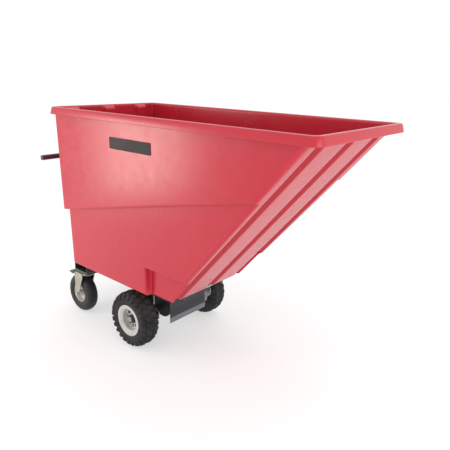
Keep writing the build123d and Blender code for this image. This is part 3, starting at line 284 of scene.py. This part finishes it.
    def relief_node(self, nodes: bpy.types.Nodes, links: bpy.types.NodeLinks,
                    place: bpy.types.Node) -> bpy.types.Node:
        """Add the bump that this finish's pattern needs.

        Args:
            nodes: the material's nodes.
            links: the material's links.
            place: the texture coordinate node.

        Returns:
            The bump node.
        """
        bump = nodes.new("ShaderNodeBump")
        bump.inputs["Strength"].default_value = self.relief
        bump.inputs["Distance"].default_value = 0.0006
        stretch = nodes.new("ShaderNodeMapping")
        links.new(place.outputs["Object"], stretch.inputs["Vector"])
        if self.pattern is Pattern.BRUSHED:
            stretch.inputs["Scale"].default_value = (0.04, 1.0, 1.0)
        if self.pattern is Pattern.CAST:
            texture = nodes.new("ShaderNodeTexVoronoi")
            height = texture.outputs["Distance"]
        else:
            texture = nodes.new("ShaderNodeTexNoise")
            texture.inputs["Detail"].default_value = 2.0 if self.pattern is Pattern.ORANGE_PEEL else 5.0
            height = texture.outputs["Fac"]
        texture.inputs["Scale"].default_value = self.relief_scale
        links.new(stretch.outputs["Vector"], texture.inputs["Vector"])
        links.new(height, bump.inputs["Height"])
        return bump


FINISHES = {
    "hopper_plastic": Finish("hopper_red", (0.50, 0.014, 0.032), (0.56, 0.030, 0.048), 0.5, 1.6, (0.20, 0.28),
                             pattern=Pattern.ORANGE_PEEL, relief_scale=110.0, relief=0.035, dust=0.02),
    "label_film": Finish("label_black", (0.022, 0.016, 0.018), (0.05, 0.04, 0.045), 0.4, 9.0, (0.5, 0.62),
                         relief=0.02, specular=0.3),
    "frame_paint": Finish("frame_black", (0.018, 0.018, 0.020), (0.05, 0.047, 0.045), 0.4, 9.0, (0.38, 0.55),
                          pattern=Pattern.ORANGE_PEEL, relief_scale=700.0, relief=0.15, edge_wear=0.6,
                          dust=0.05),
    "bracket_steel": Finish("bracket_zinc", (0.42, 0.42, 0.42), (0.25, 0.24, 0.23), 0.5, 14.0, (0.3, 0.5),
                            1.0, Pattern.GRAIN, 300.0, 0.12),
    # Blue-grey guard paint; its upper part is painted near black as painted shade under the hood.
    "guard_paint": Finish("guard_blue_grey_painted_shade", (0.10, 0.115, 0.14), (0.16, 0.17, 0.19), 0.5, 11.0, (0.32, 0.5),
                          pattern=Pattern.ORANGE_PEEL, relief_scale=600.0, relief=0.15, edge_wear=0.7,
                          dust=0.08, painted_shade_above=GUARD_PAINTED_SHADE_TOP),
    "cover_plastic": Finish("cover_black", (0.012, 0.015, 0.018), (0.03, 0.035, 0.04), 0.4, 7.0, (0.25, 0.4),
                            pattern=Pattern.GRAIN, relief_scale=900.0, relief=0.1, dust=0.06),
    "zinc_steel": Finish("fork_zinc", (0.50, 0.46, 0.40), (0.30, 0.26, 0.21), 0.6, 16.0, (0.28, 0.48), 1.0,
                         Pattern.GRAIN, 260.0, 0.15),
    "bright_bolts": Finish("bolt_zinc", (0.55, 0.55, 0.54), (0.30, 0.28, 0.25), 0.5, 30.0, (0.25, 0.45), 1.0,
                           Pattern.BRUSHED, 900.0, 0.15),
    "drive_tyre": Finish("tyre_block_rubber", (0.009, 0.009, 0.010), (0.050, 0.047, 0.045), 0.5, 12.0,
                         (0.5, 0.75), relief_scale=520.0, relief=0.35, edge_wear=0.6, dust=0.08,
                         specular=0.3),
    "caster_tyre": Finish("caster_rubber", (0.010, 0.010, 0.011), (0.028, 0.026, 0.026), 0.5, 14.0,
                          (0.40, 0.6), relief_scale=620.0, relief=0.2, dust=0.05, specular=0.35),
    "wheel_paint": Finish("wheel_silver", (0.60, 0.585, 0.565), (0.36, 0.33, 0.30), 0.5, 20.0, (0.28, 0.46),
                          0.35, Pattern.ORANGE_PEEL, 500.0, 0.12, edge_wear=0.3, dust=0.05),
    "hub_iron": Finish("hub_iron", (0.035, 0.034, 0.033), (0.10, 0.085, 0.07), 0.5, 26.0, (0.4, 0.65), 0.6,
                       Pattern.CAST, 420.0, 0.5),
    "shaft_steel": Finish("shaft_steel", (0.42, 0.42, 0.42), (0.25, 0.23, 0.21), 0.4, 24.0, (0.22, 0.4), 1.0,
                          Pattern.BRUSHED, 800.0, 0.2),
    "gear_steel": Finish("gear_steel", (0.38, 0.38, 0.39), (0.20, 0.17, 0.12), 0.5, 30.0, (0.2, 0.4), 1.0,
                         Pattern.BRUSHED, 900.0, 0.2),
    "gearbox_cast": Finish("gearbox_cast", (0.42, 0.42, 0.42), (0.24, 0.23, 0.22), 0.5, 12.0, (0.42, 0.6),
                           0.8, Pattern.CAST, 700.0, 0.4, dust=0.1),
    "motor_paint": Finish("motor_black", (0.02, 0.02, 0.022), (0.06, 0.055, 0.05), 0.4, 10.0, (0.3, 0.5),
                          pattern=Pattern.ORANGE_PEEL, relief_scale=700.0, relief=0.15, edge_wear=0.5),
    "battery_case": Finish("battery_grey", (0.05, 0.05, 0.055), (0.09, 0.09, 0.09), 0.4, 8.0, (0.45, 0.6),
                           relief_scale=800.0, relief=0.2),
    "terminal_lead": Finish("terminal_brass", (0.62, 0.48, 0.20), (0.4, 0.36, 0.3), 0.5, 40.0, (0.3, 0.5),
                            1.0, Pattern.GRAIN, 600.0, 0.2),
    "controller_case": Finish("controller_grey", (0.10, 0.10, 0.11), (0.16, 0.16, 0.16), 0.4, 12.0,
                              (0.4, 0.55), 0.6, Pattern.GRAIN, 900.0, 0.2),
    "handle_paint": Finish("handle_black", (0.020, 0.020, 0.022), (0.07, 0.065, 0.06), 0.3, 9.0, (0.3, 0.45),
                           pattern=Pattern.ORANGE_PEEL, relief_scale=700.0, relief=0.12, edge_wear=0.5),
    # Black grip with a dark red tint; the red is painted reflection of the red hopper in the glossy grip.
    "grip_rubber": Finish("grip_black_painted_red_reflection", (0.060, 0.010, 0.016), (0.11, 0.03, 0.035), 0.5, 22.0, (0.35, 0.5),
                          relief_scale=1200.0, relief=0.3),
    "console_plastic": Finish("console_black", (0.024, 0.024, 0.026), (0.05, 0.05, 0.05), 0.4, 12.0,
                              (0.45, 0.6), relief_scale=1500.0, relief=0.35, dust=0.1),
    "stop_red": Finish("stop_red", (0.60, 0.015, 0.012), (0.68, 0.06, 0.05), 0.3, 20.0, (0.22, 0.32),
                       relief=0.03, coat=0.3),
    "key_metal": Finish("key_plated", (0.66, 0.66, 0.67), (0.5, 0.48, 0.45), 0.4, 40.0, (0.12, 0.25), 1.0,
                        Pattern.BRUSHED, 1200.0, 0.1),
    "gauge_lens": Finish("gauge_smoked", (0.010, 0.022, 0.014), (0.02, 0.03, 0.02), 0.3, 20.0, (0.06, 0.12),
                         relief=0.01, coat=0.6),
    "rocker_plastic": Finish("rocker_black", (0.02, 0.02, 0.02), (0.05, 0.05, 0.05), 0.3, 24.0, (0.25, 0.4),
                             relief=0.05),
    "pedal_paint": Finish("pedal_green_black", (0.030, 0.042, 0.033), (0.16, 0.14, 0.11), 0.4, 18.0,
                          (0.35, 0.55), 0.2, Pattern.ORANGE_PEEL, 600.0, 0.2, edge_wear=0.9, dust=0.12),
}


# ------------------------------------------------------------------ hopper
STEP_OUT = np.array([1, 1, 0.985, 0.93, 0.81, 0.50, 0.19, 0.07, 0.02, 0, 0])
STEP_RISE = np.array([-14, -6, -2.6, -0.8, 0, 0.3, 0.6, 1.6, 3.6, 7, 14.0])


@dataclass
class Hopper:
    """The moulded hopper: one closed skin from its outer floor, over the rim, to its inner floor.

    Sizes are in millimetres and places along X are from the drive axle; the finished mesh is in metres.
    The rim's ends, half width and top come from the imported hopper_tub. The other sizes are this surface's
    own and differ from the tub's: most by 2 to 6 mm, the chute's top by 18, the upright corners' radius by 34.

    Attributes:
        axle: X of the drive axle, from the middle of the truck.
        top_z: level of the rim's top.
        rim_rear: X of the rim's rear edge.
        rim_front: X of the rim's front edge.
        rim_half: half width of the rim.
        half_floor: half width that the upper side walls would have at the floor's level.
        lean: how much wider each side is at the rim than at the floor.
        mouth_start: level where the chute's corner radius starts to grow to mouth_corner.
        mouth_rise: height over which it grows.
    """

    axle: float
    top_z: float
    rim_rear: float
    rim_front: float
    rim_half: float
    wall: float = 8.0
    floor_z: float = 363.0
    skirt: float = 42.5
    half_floor: float = 347.0
    lean: float = 35.0
    rear: float = -590.0
    foot: float = 320.0
    chute_top: float = 1190.0
    corner: float = 16.0
    mouth_corner: float = 34.0
    mouth_start: float = 1000.0
    mouth_rise: float = 320.0
    floor_round: float = 12.0
    ledge_step: float = 23.0
    ledge_rear_z: float = 722.0
    ledge_rise: float = 0.214
    groove_pitch: float = 260.0
    groove_flat: float = 25.0
    groove_flank: float = 11.0
    groove_depth: float = 28.0
    pocket_half: float = 290.0
    pocket_rear: float = 150.0
    pocket_top: float = 530.0
    pocket_corner: float = 14.0
    rim_corner: float = 46.0
    rim_flare: float = 8.0

    def slope(self) -> float:
        """How far the chute runs forward for each millimetre it rises."""
        return (self.chute_top - self.foot) / (self.top_z - self.floor_z)

    def stations(self, inset: float) -> tuple[np.ndarray, ...]:
        """Lay out half a loop's columns, crowded at the grooves' flanks and at the pocket's step.

        Args:
            inset: how far inside the outer surface the loop lies.

        Returns:
            Y stations of an end face, fractions round a corner, fractions of the side behind the pocket's
            step, X distances across the step, and fractions of the side ahead of it.
        """
        flank = self.groove_flat + inset + np.array([-3.0, -1.2, -0.3, 0.6, 2.2, 5.5, 8.8, 10.4, 11.3, 12.2,
                                                     14.0])
        between = np.linspace(flank[-1] + 10, self.groove_pitch - flank[-1] - 10, 7)
        ends = np.concatenate([[0, 12], flank, between, self.groove_pitch - flank[::-1],
                               [248, 260, 272], self.groove_pitch + flank])
        across = np.array([-16, -8, -5, -3, -1.8, -0.9, 0, 0.9, 1.8, 3, 5, 8, 16.0])
        return (ends, np.linspace(0, 1, 13)[1:], np.linspace(0, 1, 26)[1:-1], across,
                np.linspace(0, 1, 18)[1:-1])

    def end_face(self, face: np.ndarray, inward: float, half: np.ndarray, radius: np.ndarray,
                 groove: np.ndarray,
                 inset: float) -> tuple[np.ndarray, np.ndarray]:
        """X and Y along one end face and round its corner, up to where the side begins.

        Past the last station Y runs to the side as a sine, and X leaves the face by
        radius - sqrt(radius^2 - over^2), where over is the distance past the corner's start.

        Args:
            face: X of the flat face at each column.
            inward: 1 where inwards is towards +X, otherwise -1.
            half: half width at each column.
            radius: corner radius at each column.
            groove: depth of the grooves along X at each column.
            inset: how far inside the outer surface the loop lies.

        Returns:
            X and Y (positive) of the columns.
        """
        ends, turn = self.stations(inset)[:2]
        inner_edge = self.groove_pitch + 10
        count = len(ends)
        reach = np.minimum(ends[-1], half - 4)
        spread = (ends - inner_edge) * (reach[:count] - inner_edge) / (ends[-1] - inner_edge)
        flat_y = np.where(ends > inner_edge, inner_edge + spread, ends)
        turn_y = reach[count:] + (half - reach)[count:] * np.sin(turn * math.pi / 2)
        y = np.concatenate([flat_y, turn_y])
        away = np.abs((ends + self.groove_pitch / 2) % self.groove_pitch - self.groove_pitch / 2)
        depth = np.concatenate([1 - soft_step((away - self.groove_flat - inset) / self.groove_flank),
                                np.zeros(len(turn))])
        over = np.clip(y - (half - radius), 0, radius)
        return face + inward * (depth * groove + radius - np.sqrt(radius ** 2 - over ** 2)), y

    def half_loop(self, z: np.ndarray, rear: np.ndarray, front: np.ndarray, half: np.ndarray,
                  radii: tuple[np.ndarray, np.ndarray], groove: float, inset: float) -> np.ndarray:
        """The right half of a loop, from the middle of the rear face to the middle of the chute.

        Args:
            z: level of each column.
            rear: X of the rear face at each column.
            front: X of the chute at each column.
            half: half width at each column.
            radii: rear and front corner radius at each column.
            groove: share of the grooves' full depth.
            inset: how far inside the outer surface the loop lies.

        Returns:
            Points as (columns, 3), in millimetres.
        """
        ends, turn, behind, across, ahead = self.stations(inset)
        n_end = len(ends) + len(turn)
        tail = slice(len(z) - n_end, len(z))
        deep = np.full(n_end, groove * self.groove_depth)
        chute_deep = deep * math.hypot(self.slope(), 1)
        x_rear, y_rear = self.end_face(rear[:n_end], 1.0, half[:n_end], radii[0][:n_end], deep, inset)
        x_front, y_front = self.end_face(front[tail][::-1], -1.0, half[tail][::-1], radii[1][tail][::-1],
                                         chute_deep, inset)
        side = slice(n_end, len(z) - n_end)
        start, stop = (rear + radii[0])[side], (front - radii[1])[side]
        split = self.pocket_rear - inset + 0.4 * np.maximum(z[side] - self.pocket_top, 0)
        reach = across[-1]
        part = np.concatenate([behind, np.ones(len(across)), np.zeros(len(ahead))])
        shift = np.concatenate([np.zeros(len(behind)), across + reach, np.zeros(len(ahead))])
        x_side = start + part * (split - reach - start) + shift
        lead = np.concatenate([np.zeros(len(behind) + len(across)), ahead])
        is_ahead = lead > 0
        x_side = np.where(is_ahead, split + reach + lead * (stop - split - reach), x_side)
        x = np.concatenate([x_rear, x_side, x_front[::-1]])
        y = np.concatenate([y_rear, half[side], y_front[::-1]])
        return np.stack([x, -y, z], axis=-1)

    def wall_loop(self, z: np.ndarray, inset: float, ledge: float, pocket: float, groove: float = 1.0,
                  rounding: float = 0.0) -> np.ndarray:
        """Half a loop of the wall at given levels.

        Args:
            z: level of each column.
            inset: 0 for the outer surface, the wall's thickness for the inner one.
            ledge: 1 below the ledge, 0 above it.
            pocket: 1 below the wheel pocket's top, 0 above it.
            groove: share of the grooves' full depth.
            rounding: how far the loop is drawn in by the rounding at the floor.

        Returns:
            Points as (columns, 3), in millimetres.
        """
        ends, turn, behind, across, ahead = self.stations(inset)
        n_end = len(ends) + len(turn)
        edge = soft_step(across / 5.0 + 0.5, 0.05)
        in_pocket = pocket * np.concatenate([np.zeros(n_end + len(behind)), edge,
                                             np.ones(len(ahead) + n_end)])
        step = ledge * self.ledge_step
        half = self.half_floor + self.lean * (z - self.floor_z) / (self.top_z - self.floor_z) - step - inset
        half = half + in_pocket * (np.minimum(self.pocket_half - inset, half) - half) - rounding
        drawn_in = inset * math.hypot(self.slope(), 1)
        rear = np.full(len(z), self.rear + step + inset + rounding)
        front = self.foot + self.slope() * (z - self.floor_z) - drawn_in - rounding * 0.46
        mouth = np.clip((z - self.mouth_start) / self.mouth_rise, 0, 1) * (self.mouth_corner - self.corner)
        back_radius = np.full(len(z), max(self.corner - inset - rounding, 6.0))
        front_radius = (self.corner + mouth) * (1 - in_pocket) + self.pocket_corner * in_pocket
        front_radius = front_radius - inset - rounding
        return self.half_loop(z, rear, front, half, (back_radius, np.maximum(front_radius, 4.0)), groove,
                              inset)

    def column_count(self, inset: float) -> int:
        """Number of columns in half a loop."""
        ends, turn, behind, across, ahead = self.stations(inset)
        return 2 * (len(ends) + len(turn)) + len(behind) + len(across) + len(ahead)

    def ledge_levels(self, inset: float) -> np.ndarray:
        """Level of the ledge at each column, found by letting the column's X and the level settle."""
        z = np.full(self.column_count(inset), self.ledge_rear_z)
        n_end = sum(len(part) for part in self.stations(inset)[:2])
        for _ in range(16):
            x = self.wall_loop(z, inset, 0, 0, groove=0.0)[:, 0]
            z = self.ledge_rear_z + self.ledge_rise * (x - self.rear) + inset * math.hypot(self.ledge_rise, 1)
            z[-n_end:] = z[-n_end]
            z[:n_end] = z[n_end - 1]
        return z

    def wall_rows(self, inset: float, top: float) -> list[np.ndarray]:
        """Half loops of one surface of the wall, from the middle of the floor up to a level.

        Args:
            inset: 0 for the outer surface, the wall's thickness for the inner one.
            top: level of the last loop.

        Returns:
            Half loops, each (columns, 3), in millimetres.
        """
        count = self.column_count(inset)
        low = self.floor_z + inset
        radius = self.floor_round - inset
        level = np.ones(count)
        rows = []
        floor_edge = self.wall_loop(level * low, inset, 1, 1, rounding=radius)
        middle = np.array([(self.rear + self.foot) / 2, 0, low])
        for share in (0.25, 0.55, 0.8, 0.95):
            rows.append(middle + (floor_edge - middle) * share)
        for angle in np.linspace(math.pi / 2, 0, 8):
            z = level * (low + radius * (1 - math.sin(angle)))
            rows.append(self.wall_loop(z, inset, 1, 1, rounding=radius * (1 - math.cos(angle))))
        pocket_z = self.pocket_top + inset
        ledge_z = self.ledge_levels(inset)
        for share in np.linspace(0, 1, 9)[1:-1]:
            z = low + radius + share * (pocket_z + STEP_RISE[0] - low - radius)
            rows.append(self.wall_loop(level * z, inset, 1, 1))
        for out, rise in zip(STEP_OUT, STEP_RISE):
            rows.append(self.wall_loop(level * (pocket_z + rise), inset, 1, out))
        for share in np.linspace(0, 1, 14)[1:-1]:
            start = pocket_z + STEP_RISE[-1]
            rows.append(self.wall_loop(start + share * (ledge_z + STEP_RISE[0] - start), inset, 1, 0))
        for out, rise in zip(STEP_OUT, STEP_RISE):
            rows.append(self.wall_loop(ledge_z + rise, inset, out, 0))
        for share in np.linspace(0, 1, 20)[1:]:
            start = ledge_z + STEP_RISE[-1]
            rows.append(self.wall_loop(start + share * (top - start), inset, 0, 0))
        return rows

    def rim_loop(self, z: float, draw_in: float, reach: float, groove: float, inset: float) -> np.ndarray:
        """Half a loop of the rim, between the wall's outline and the rim's.

        Args:
            z: level of the loop.
            draw_in: how far the loop is drawn in from the blended outline.
            reach: 0 on the wall, 1 on the rim's outer edge.
            groove: share of the grooves' full depth.
            inset: which surface's columns to use.

        Returns:
            Points as (columns, 3), in millimetres.
        """
        count = self.column_count(inset)
        ones = np.ones(count)
        half = self.half_floor + self.lean * (z - self.floor_z) / (self.top_z - self.floor_z) - inset
        front = self.foot + self.slope() * (z - self.floor_z) - inset * math.hypot(self.slope(), 1)

        def blend(on_wall: float, on_rim: float) -> np.ndarray:
            """A value between the wall's and the rim's."""
            return ones * (on_wall + (on_rim - on_wall) * reach)

        return self.half_loop(ones * z, blend(self.rear + inset, self.rim_rear) + draw_in,
                              blend(front, self.rim_front) - draw_in, blend(half, self.rim_half) - draw_in,
                              (blend(self.corner - inset, self.rim_corner) - draw_in * 0.5,
                               blend(self.mouth_corner - inset, self.rim_corner) - draw_in * 0.5), groove,
                              inset)

    def rim_rows(self) -> list[np.ndarray]:
        """Half loops of the rim: under the flange, round the skirt's lip, over the top and down inside."""
        lip, top = self.top_z - self.skirt, self.top_z
        under = top - self.wall
        lean = self.rim_flare / self.skirt
        outer = [(under - 5, 0, 0, 0.6), (under - 3, -0.5, 0, 0.2), (under - 1.2, -1.6, 0, 0),
                 (under, -4, 0, 0),
                 (under, 18, 1, 0), (under - 1.5, 15.6, 1, 0), (under - 5, 14.6, 1, 0), (lip + 6, 8.8, 1, 0),
                 (lip + 2, 7.6, 1, 0), (lip + 0.6, 6.4, 1, 0), (lip, 4.4, 1, 0), (lip + 0.5, 2.2, 1, 0),
                 (lip + 2, 0.8, 1, 0), (lip + 5, 0.8, 1, 0), (lip + 20, 20 * lean, 1, 0),
                 (top - 10, (self.skirt - 10) * lean, 1, 0), (top - 6, 7.4, 1, 0), (top - 2.8, 8.9, 1, 0),
                 (top - 0.8, 11.6, 1, 0), (top, 15.5, 1, 0)]
        inner = [(top, -12.0, 0.0), (top - 0.3, -8.5, 0.0), (top - 1.3, -5.4, 0.0), (top - 3.4, -2.4, 0.0),
                 (top - 6.5, -0.7, 0.0), (top - 11, 0, 0.35), (top - 16, 0, 0.8), (top - 22, 0, 1.0)]
        rows = [self.rim_loop(z, draw_in, reach, groove, 0) for z, draw_in, reach, groove in outer]
        return rows + [self.rim_loop(z, draw_in, 0, groove, self.wall) for z, draw_in, groove in inner]

    def build(self) -> bpy.types.Object:
        """Make the hopper's mesh from all its loops, with the left half mirrored from the right."""
        rows = self.wall_rows(0, self.top_z - self.wall - 8) + self.rim_rows()
        rows += self.wall_rows(self.wall, self.top_z - 30)[::-1]
        half = np.stack(rows)
        other = half[:, -2:0:-1] * np.array([1, -1, 1])
        loops = np.concatenate([half, other], axis=1)
        loops[..., 0] += self.axle
        piece = loop_surface("hopper_shell", loops * MM)
        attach(piece, "hopper")
        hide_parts("hopper_tub")
        return piece


# ------------------------------------------------------------------ wheels
@dataclass
class BlockTyre:
    """Drive tyre with rows of raised blocks on a turned carcass.

    Attributes:
        name: name of the new piece.
        node: the plain tyre that it stands for.
        body: the body that it rides on.
        blocks: number of blocks round the tyre, in each row.
        columns: grid columns for each block.
        side_rings: height, place along the section and width of the thin rings on the sidewalls.
    """

    name: str
    node: str
    body: str
    blocks: int = 24
    columns: int = 13
    block_height: float = 0.0115
    bead_radius: float = 0.077
    side_rings: tuple[tuple[float, float, float], ...] = ((0.0009, 0.86, 0.012), (0.0007, 0.93, 0.01))

    def profile(self) -> tuple[np.ndarray, np.ndarray, np.ndarray, np.ndarray]:
        """Section of the carcass from the outer bead over the crown to the inner bead.

        The section is a superellipse, |y / a|^2.6 + |r / b|^2.6 = 1, above the rim's flange, closed by the
        straight seat under it.

        Returns:
            Offset across the tyre, radius, share of the tread blocks, and path position from -1 to 1.
        """
        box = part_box(self.node)
        half = (box[1][1] - box[0][1]) / 2
        radius = (box[1][2] - box[0][2]) / 2
        t = np.linspace(-1, 1, 69)
        angle = t * math.radians(118)
        low = self.bead_radius + 0.040
        power = 2 / 2.6
        wide = (half - 0.002) * np.sign(np.sin(angle)) * np.abs(np.sin(angle)) ** power
        high = radius - self.block_height - low
        r = low + high * np.sign(np.cos(angle)) * np.abs(np.cos(angle)) ** power
        tread = soft_step((0.66 - np.abs(t)) / 0.05 + 0.5, 0.02)
        return wide, r, tread, t

    def build(self) -> bpy.types.Object:
        """Make the tyre: carcass radius plus block height times the pattern at each grid point."""
        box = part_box(self.node)
        axle = [(box[0][i] + box[1][i]) / 2 for i in range(3)]
        wide, r, tread, t = self.profile()
        angle = np.linspace(0, 2 * math.pi, self.blocks * self.columns, endpoint=False)
        pitch = 2 * math.pi / self.blocks

        def lug(position: np.ndarray, fill: float) -> np.ndarray:
            """1 on a block and 0 between blocks, over one pitch."""
            local = np.abs((position / pitch) % 1.0 - 0.5) * 2
            return soft_step((fill - local) / 0.10 + 0.5, 0.02)

        side = np.sign(t)[:, None]
        skew = 0.10 * t[:, None]
        around = angle[None, :] + skew
        shoulder = (np.abs(t)[:, None] > 0.37) * lug(around + 0.25 * pitch * side, 0.56)
        middle = ((np.abs(t)[:, None] <= 0.31) & (np.abs(t)[:, None] > 0.04))
        middle = middle * lug(around + 0.25 * pitch * side + 0.5 * pitch, 0.62)
        raised = tread[:, None] * np.maximum(shoulder, middle)
        away_r = np.gradient(wide)[:, None]
        away_w = -np.gradient(r)[:, None]
        length = np.hypot(away_r, away_w) + 1e-9
        lift = self.block_height * raised
        across = wide[:, None] + lift * away_w / length * 0.9
        radial = r[:, None] + lift * away_r / length
        rings = sum(height * np.exp(-((np.abs(t) - place) / width) ** 2)
                    for height, place, width in self.side_rings)
        across = across + (np.sign(wide) * rings)[:, None]
        seat = np.array([[wide[-1] * 0.92, self.bead_radius], [0, self.bead_radius],
                         [wide[0] * 0.92, self.bead_radius]])
        across = np.vstack([across, np.repeat(seat[:, :1], len(angle), 1)])
        radial = np.vstack([radial, np.repeat(seat[:, 1:], len(angle), 1)])
        radial = np.minimum(radial, (box[1][2] - box[0][2]) / 2)
        loops = np.stack([axle[0] + radial * np.cos(angle), axle[1] + across,
                          axle[2] + radial * np.sin(angle)], -1)
        piece = loop_surface(self.name, loops, closed_rows=True)
        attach(piece, self.body)
        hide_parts(self.node)
        return piece


@dataclass
class RibbedTyre:
    """Caster tyre: a smooth turned carcass with grooves that run round its tread.

    Attributes:
        name: name of the new piece.
        node: the plain tyre that it stands for.
        body: the body that it rides on.
    """

    name: str
    node: str
    body: str
    steps: int = 96
    groove_depth: float = 0.0026
    groove_width: float = 0.0013
    groove_places: tuple[float, ...] = (-0.019, -0.0065, 0.0065, 0.019)
    bead_radius: float = 0.062

    def build(self) -> bpy.types.Object:
        """Turn the tyre's section round its axle.

        The section is a superellipse, |y / a|^2.4 + |r / b|^2.4 = 1, with four narrow bell-shaped grooves.
        """
        low, high = (np.array(corner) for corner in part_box(self.node))
        axle = (low + high) / 2
        half, radius = (high - low)[1] / 2 - 0.0008, (high - low)[2] / 2
        t = np.linspace(-1, 1, 121)
        turn = t * math.radians(112)
        base = self.bead_radius + 0.030
        power = 2 / 2.4
        across = half * np.sign(np.sin(turn)) * np.abs(np.sin(turn)) ** power
        radial = base + (radius - base) * np.sign(np.cos(turn)) * np.abs(np.cos(turn)) ** power
        on_tread = np.cos(turn) > 0.2
        for place in self.groove_places:
            bell = np.exp(-((across - place) / self.groove_width) ** 2)
            radial = radial - self.groove_depth * bell * on_tread
        seat = np.array([0.95, 0.0, -0.95]) * across[-1]
        across = np.concatenate([across, seat])
        radial = np.concatenate([radial, np.full(3, self.bead_radius)])
        angle = np.linspace(0, 2 * math.pi, self.steps, endpoint=False)
        loops = np.stack([axle[0] + radial[:, None] * np.cos(angle),
                          axle[1] + np.repeat(across[:, None], self.steps, 1),
                          axle[2] + radial[:, None] * np.sin(angle)], -1)
        piece = loop_surface(self.name, loops, closed_rows=True)
        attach(piece, self.body)
        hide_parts(self.node)
        return piece


# ------------------------------------------------------------------ studio
@dataclass
class Studio:
    """Pale floor, soft lights and the camera.

    Attributes:
        axle: X of the drive axle, in metres.
        eye: the camera's place, in metres, with X from the drive axle.
        aim: the camera's yaw, downward pitch and roll, in degrees.
        lens: focal length in millimetres.
        shift: sideways and upward shift of the frame.
        lamp_target: the point that every lamp faces.
    """

    axle: float
    eye: tuple[float, float, float] = (2.0936, -1.9372, 1.5671)
    aim: tuple[float, float, float] = (40.4, 14.1, 1.3)
    lens: float = 39.18
    shift: tuple[float, float] = (-0.0049, -0.0636)
    lamp_target: tuple[float, float, float] = (0, 0, 0.8)

    def camera(self) -> bpy.types.Object:
        """Place the camera: above the right front corner, looking down over the chute."""
        yaw, pitch, roll = (math.radians(angle) for angle in self.aim)
        ahead = Vector((-math.sin(yaw) * math.cos(pitch), math.cos(yaw) * math.cos(pitch), -math.sin(pitch)))
        level = Vector((math.cos(yaw), math.sin(yaw), 0))
        upward = level.cross(ahead)
        right = level * math.cos(roll) + upward * math.sin(roll)
        up = upward * math.cos(roll) - level * math.sin(roll)
        data = bpy.data.cameras.new("camera")
        data.sensor_width = 36.0
        data.lens = self.lens
        data.shift_x, data.shift_y = self.shift
        camera = bpy.data.objects.new("camera", data)
        bpy.context.scene.collection.objects.link(camera)
        turn = Matrix((right, up, -ahead)).transposed().to_4x4()
        camera.matrix_world = Matrix.Translation((self.axle + self.eye[0], *self.eye[1:])) @ turn
        bpy.context.scene.camera = camera
        return camera

    def light(self, name: str, place: tuple[float, float, float], size: tuple[float, float], power: float,
              colour: tuple[float, float, float] = (1, 1, 1)) -> None:
        """Hang one rectangular soft light that looks at the hopper."""
        data = bpy.data.lights.new(name, "AREA")
        data.shape = "RECTANGLE"
        data.size, data.size_y = size
        data.energy = power
        data.color = colour
        lamp = bpy.data.objects.new(name, data)
        bpy.context.scene.collection.objects.link(lamp)
        lamp.location = place
        lamp.rotation_euler = (Vector(self.lamp_target) - Vector(place)).to_track_quat("-Z", "Y").to_euler()

    def build(self) -> None:
        """Make the floor, the world light, the lamps and the camera."""
        floor = mesh_object("floor", np.array([[-30, -30, 0], [30, -30, 0], [30, 30, 0], [-30, 30, 0]],
                                              float),
                            [(0, 1, 2, 3)])
        paper = bpy.data.materials.new("floor_paper")
        paper.use_nodes = True
        shader = paper.node_tree.nodes["Principled BSDF"]
        shader.inputs["Base Color"].default_value = (0.5, 0.5, 0.5, 1)
        shader.inputs["Roughness"].default_value = 0.9
        shader.inputs["Emission Color"].default_value = (1, 1, 1, 1)
        shader.inputs["Emission Strength"].default_value = 0.5
        floor.data.materials.append(paper)
        world = bpy.data.worlds.new("studio")
        world.use_nodes = True
        world.node_tree.nodes["Background"].inputs["Color"].default_value = (1, 1, 1, 1)
        world.node_tree.nodes["Background"].inputs["Strength"].default_value = 1.0
        bpy.context.scene.world = world
        bpy.context.scene.view_settings.view_transform = "Standard"
        self.light("left", (-2.5, -2.4, 0.9), (0.9, 1.7), 30, (1.0, 0.92, 0.84))
        self.light("front", (3.4, -0.6, 1.2), (2.2, 1.8), 26)
        self.light("top", (0.2, 0.6, 4.2), (3.0, 3.0), 20)
        self.camera()


def dress(materials: dict[str, bpy.types.Material]) -> None:
    """Give every piece the finish that its slot names.

    Args:
        materials: material of each slot.
    """
    slots = {part["node"]: part["material_slot"] for part in frame["record"]["subparts"]}
    for node, piece in frame["nodes"].items():
        piece.data.materials.clear()
        piece.data.materials.append(materials[slots[node]])


def main() -> None:
    """Build the truck's pieces in order, dress them and set the studio."""
    logging.basicConfig(level=logging.INFO, format="%(name)s: %(message)s")
    materials = {slot: finish.build() for slot, finish in FINISHES.items()}
    dress(materials)
    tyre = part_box("drive_tyre_right")
    axle = (tyre[0][0] + tyre[1][0]) / 2
    low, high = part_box("hopper_tub")
    hopper = Hopper(axle / MM, rim_rear=(low[0] - axle) / MM, rim_front=(high[0] - axle) / MM,
                    rim_half=high[1] / MM, top_z=high[2] / MM)
    pieces = [(hopper.build(), "hopper_plastic")]
    for side in ("right", "left"):
        caster = RibbedTyre(f"ribbed_tyre_{side}", f"caster_tyre_{side}", f"caster_wheel_{side}")
        pieces.append((caster.build(), "caster_tyre"))
    for side in ("right", "left"):
        wheel = BlockTyre(f"block_tyre_{side}", f"drive_tyre_{side}", f"drive_wheel_{side}")
        pieces.append((wheel.build(), "drive_tyre"))
    for piece, slot in pieces:
        piece.data.materials.clear()
        piece.data.materials.append(materials[slot])
        LOG.info("%s: %d faces", piece.name, len(piece.data.polygons))
    Studio(axle).build()


if __name__ == "__main__":
    main()
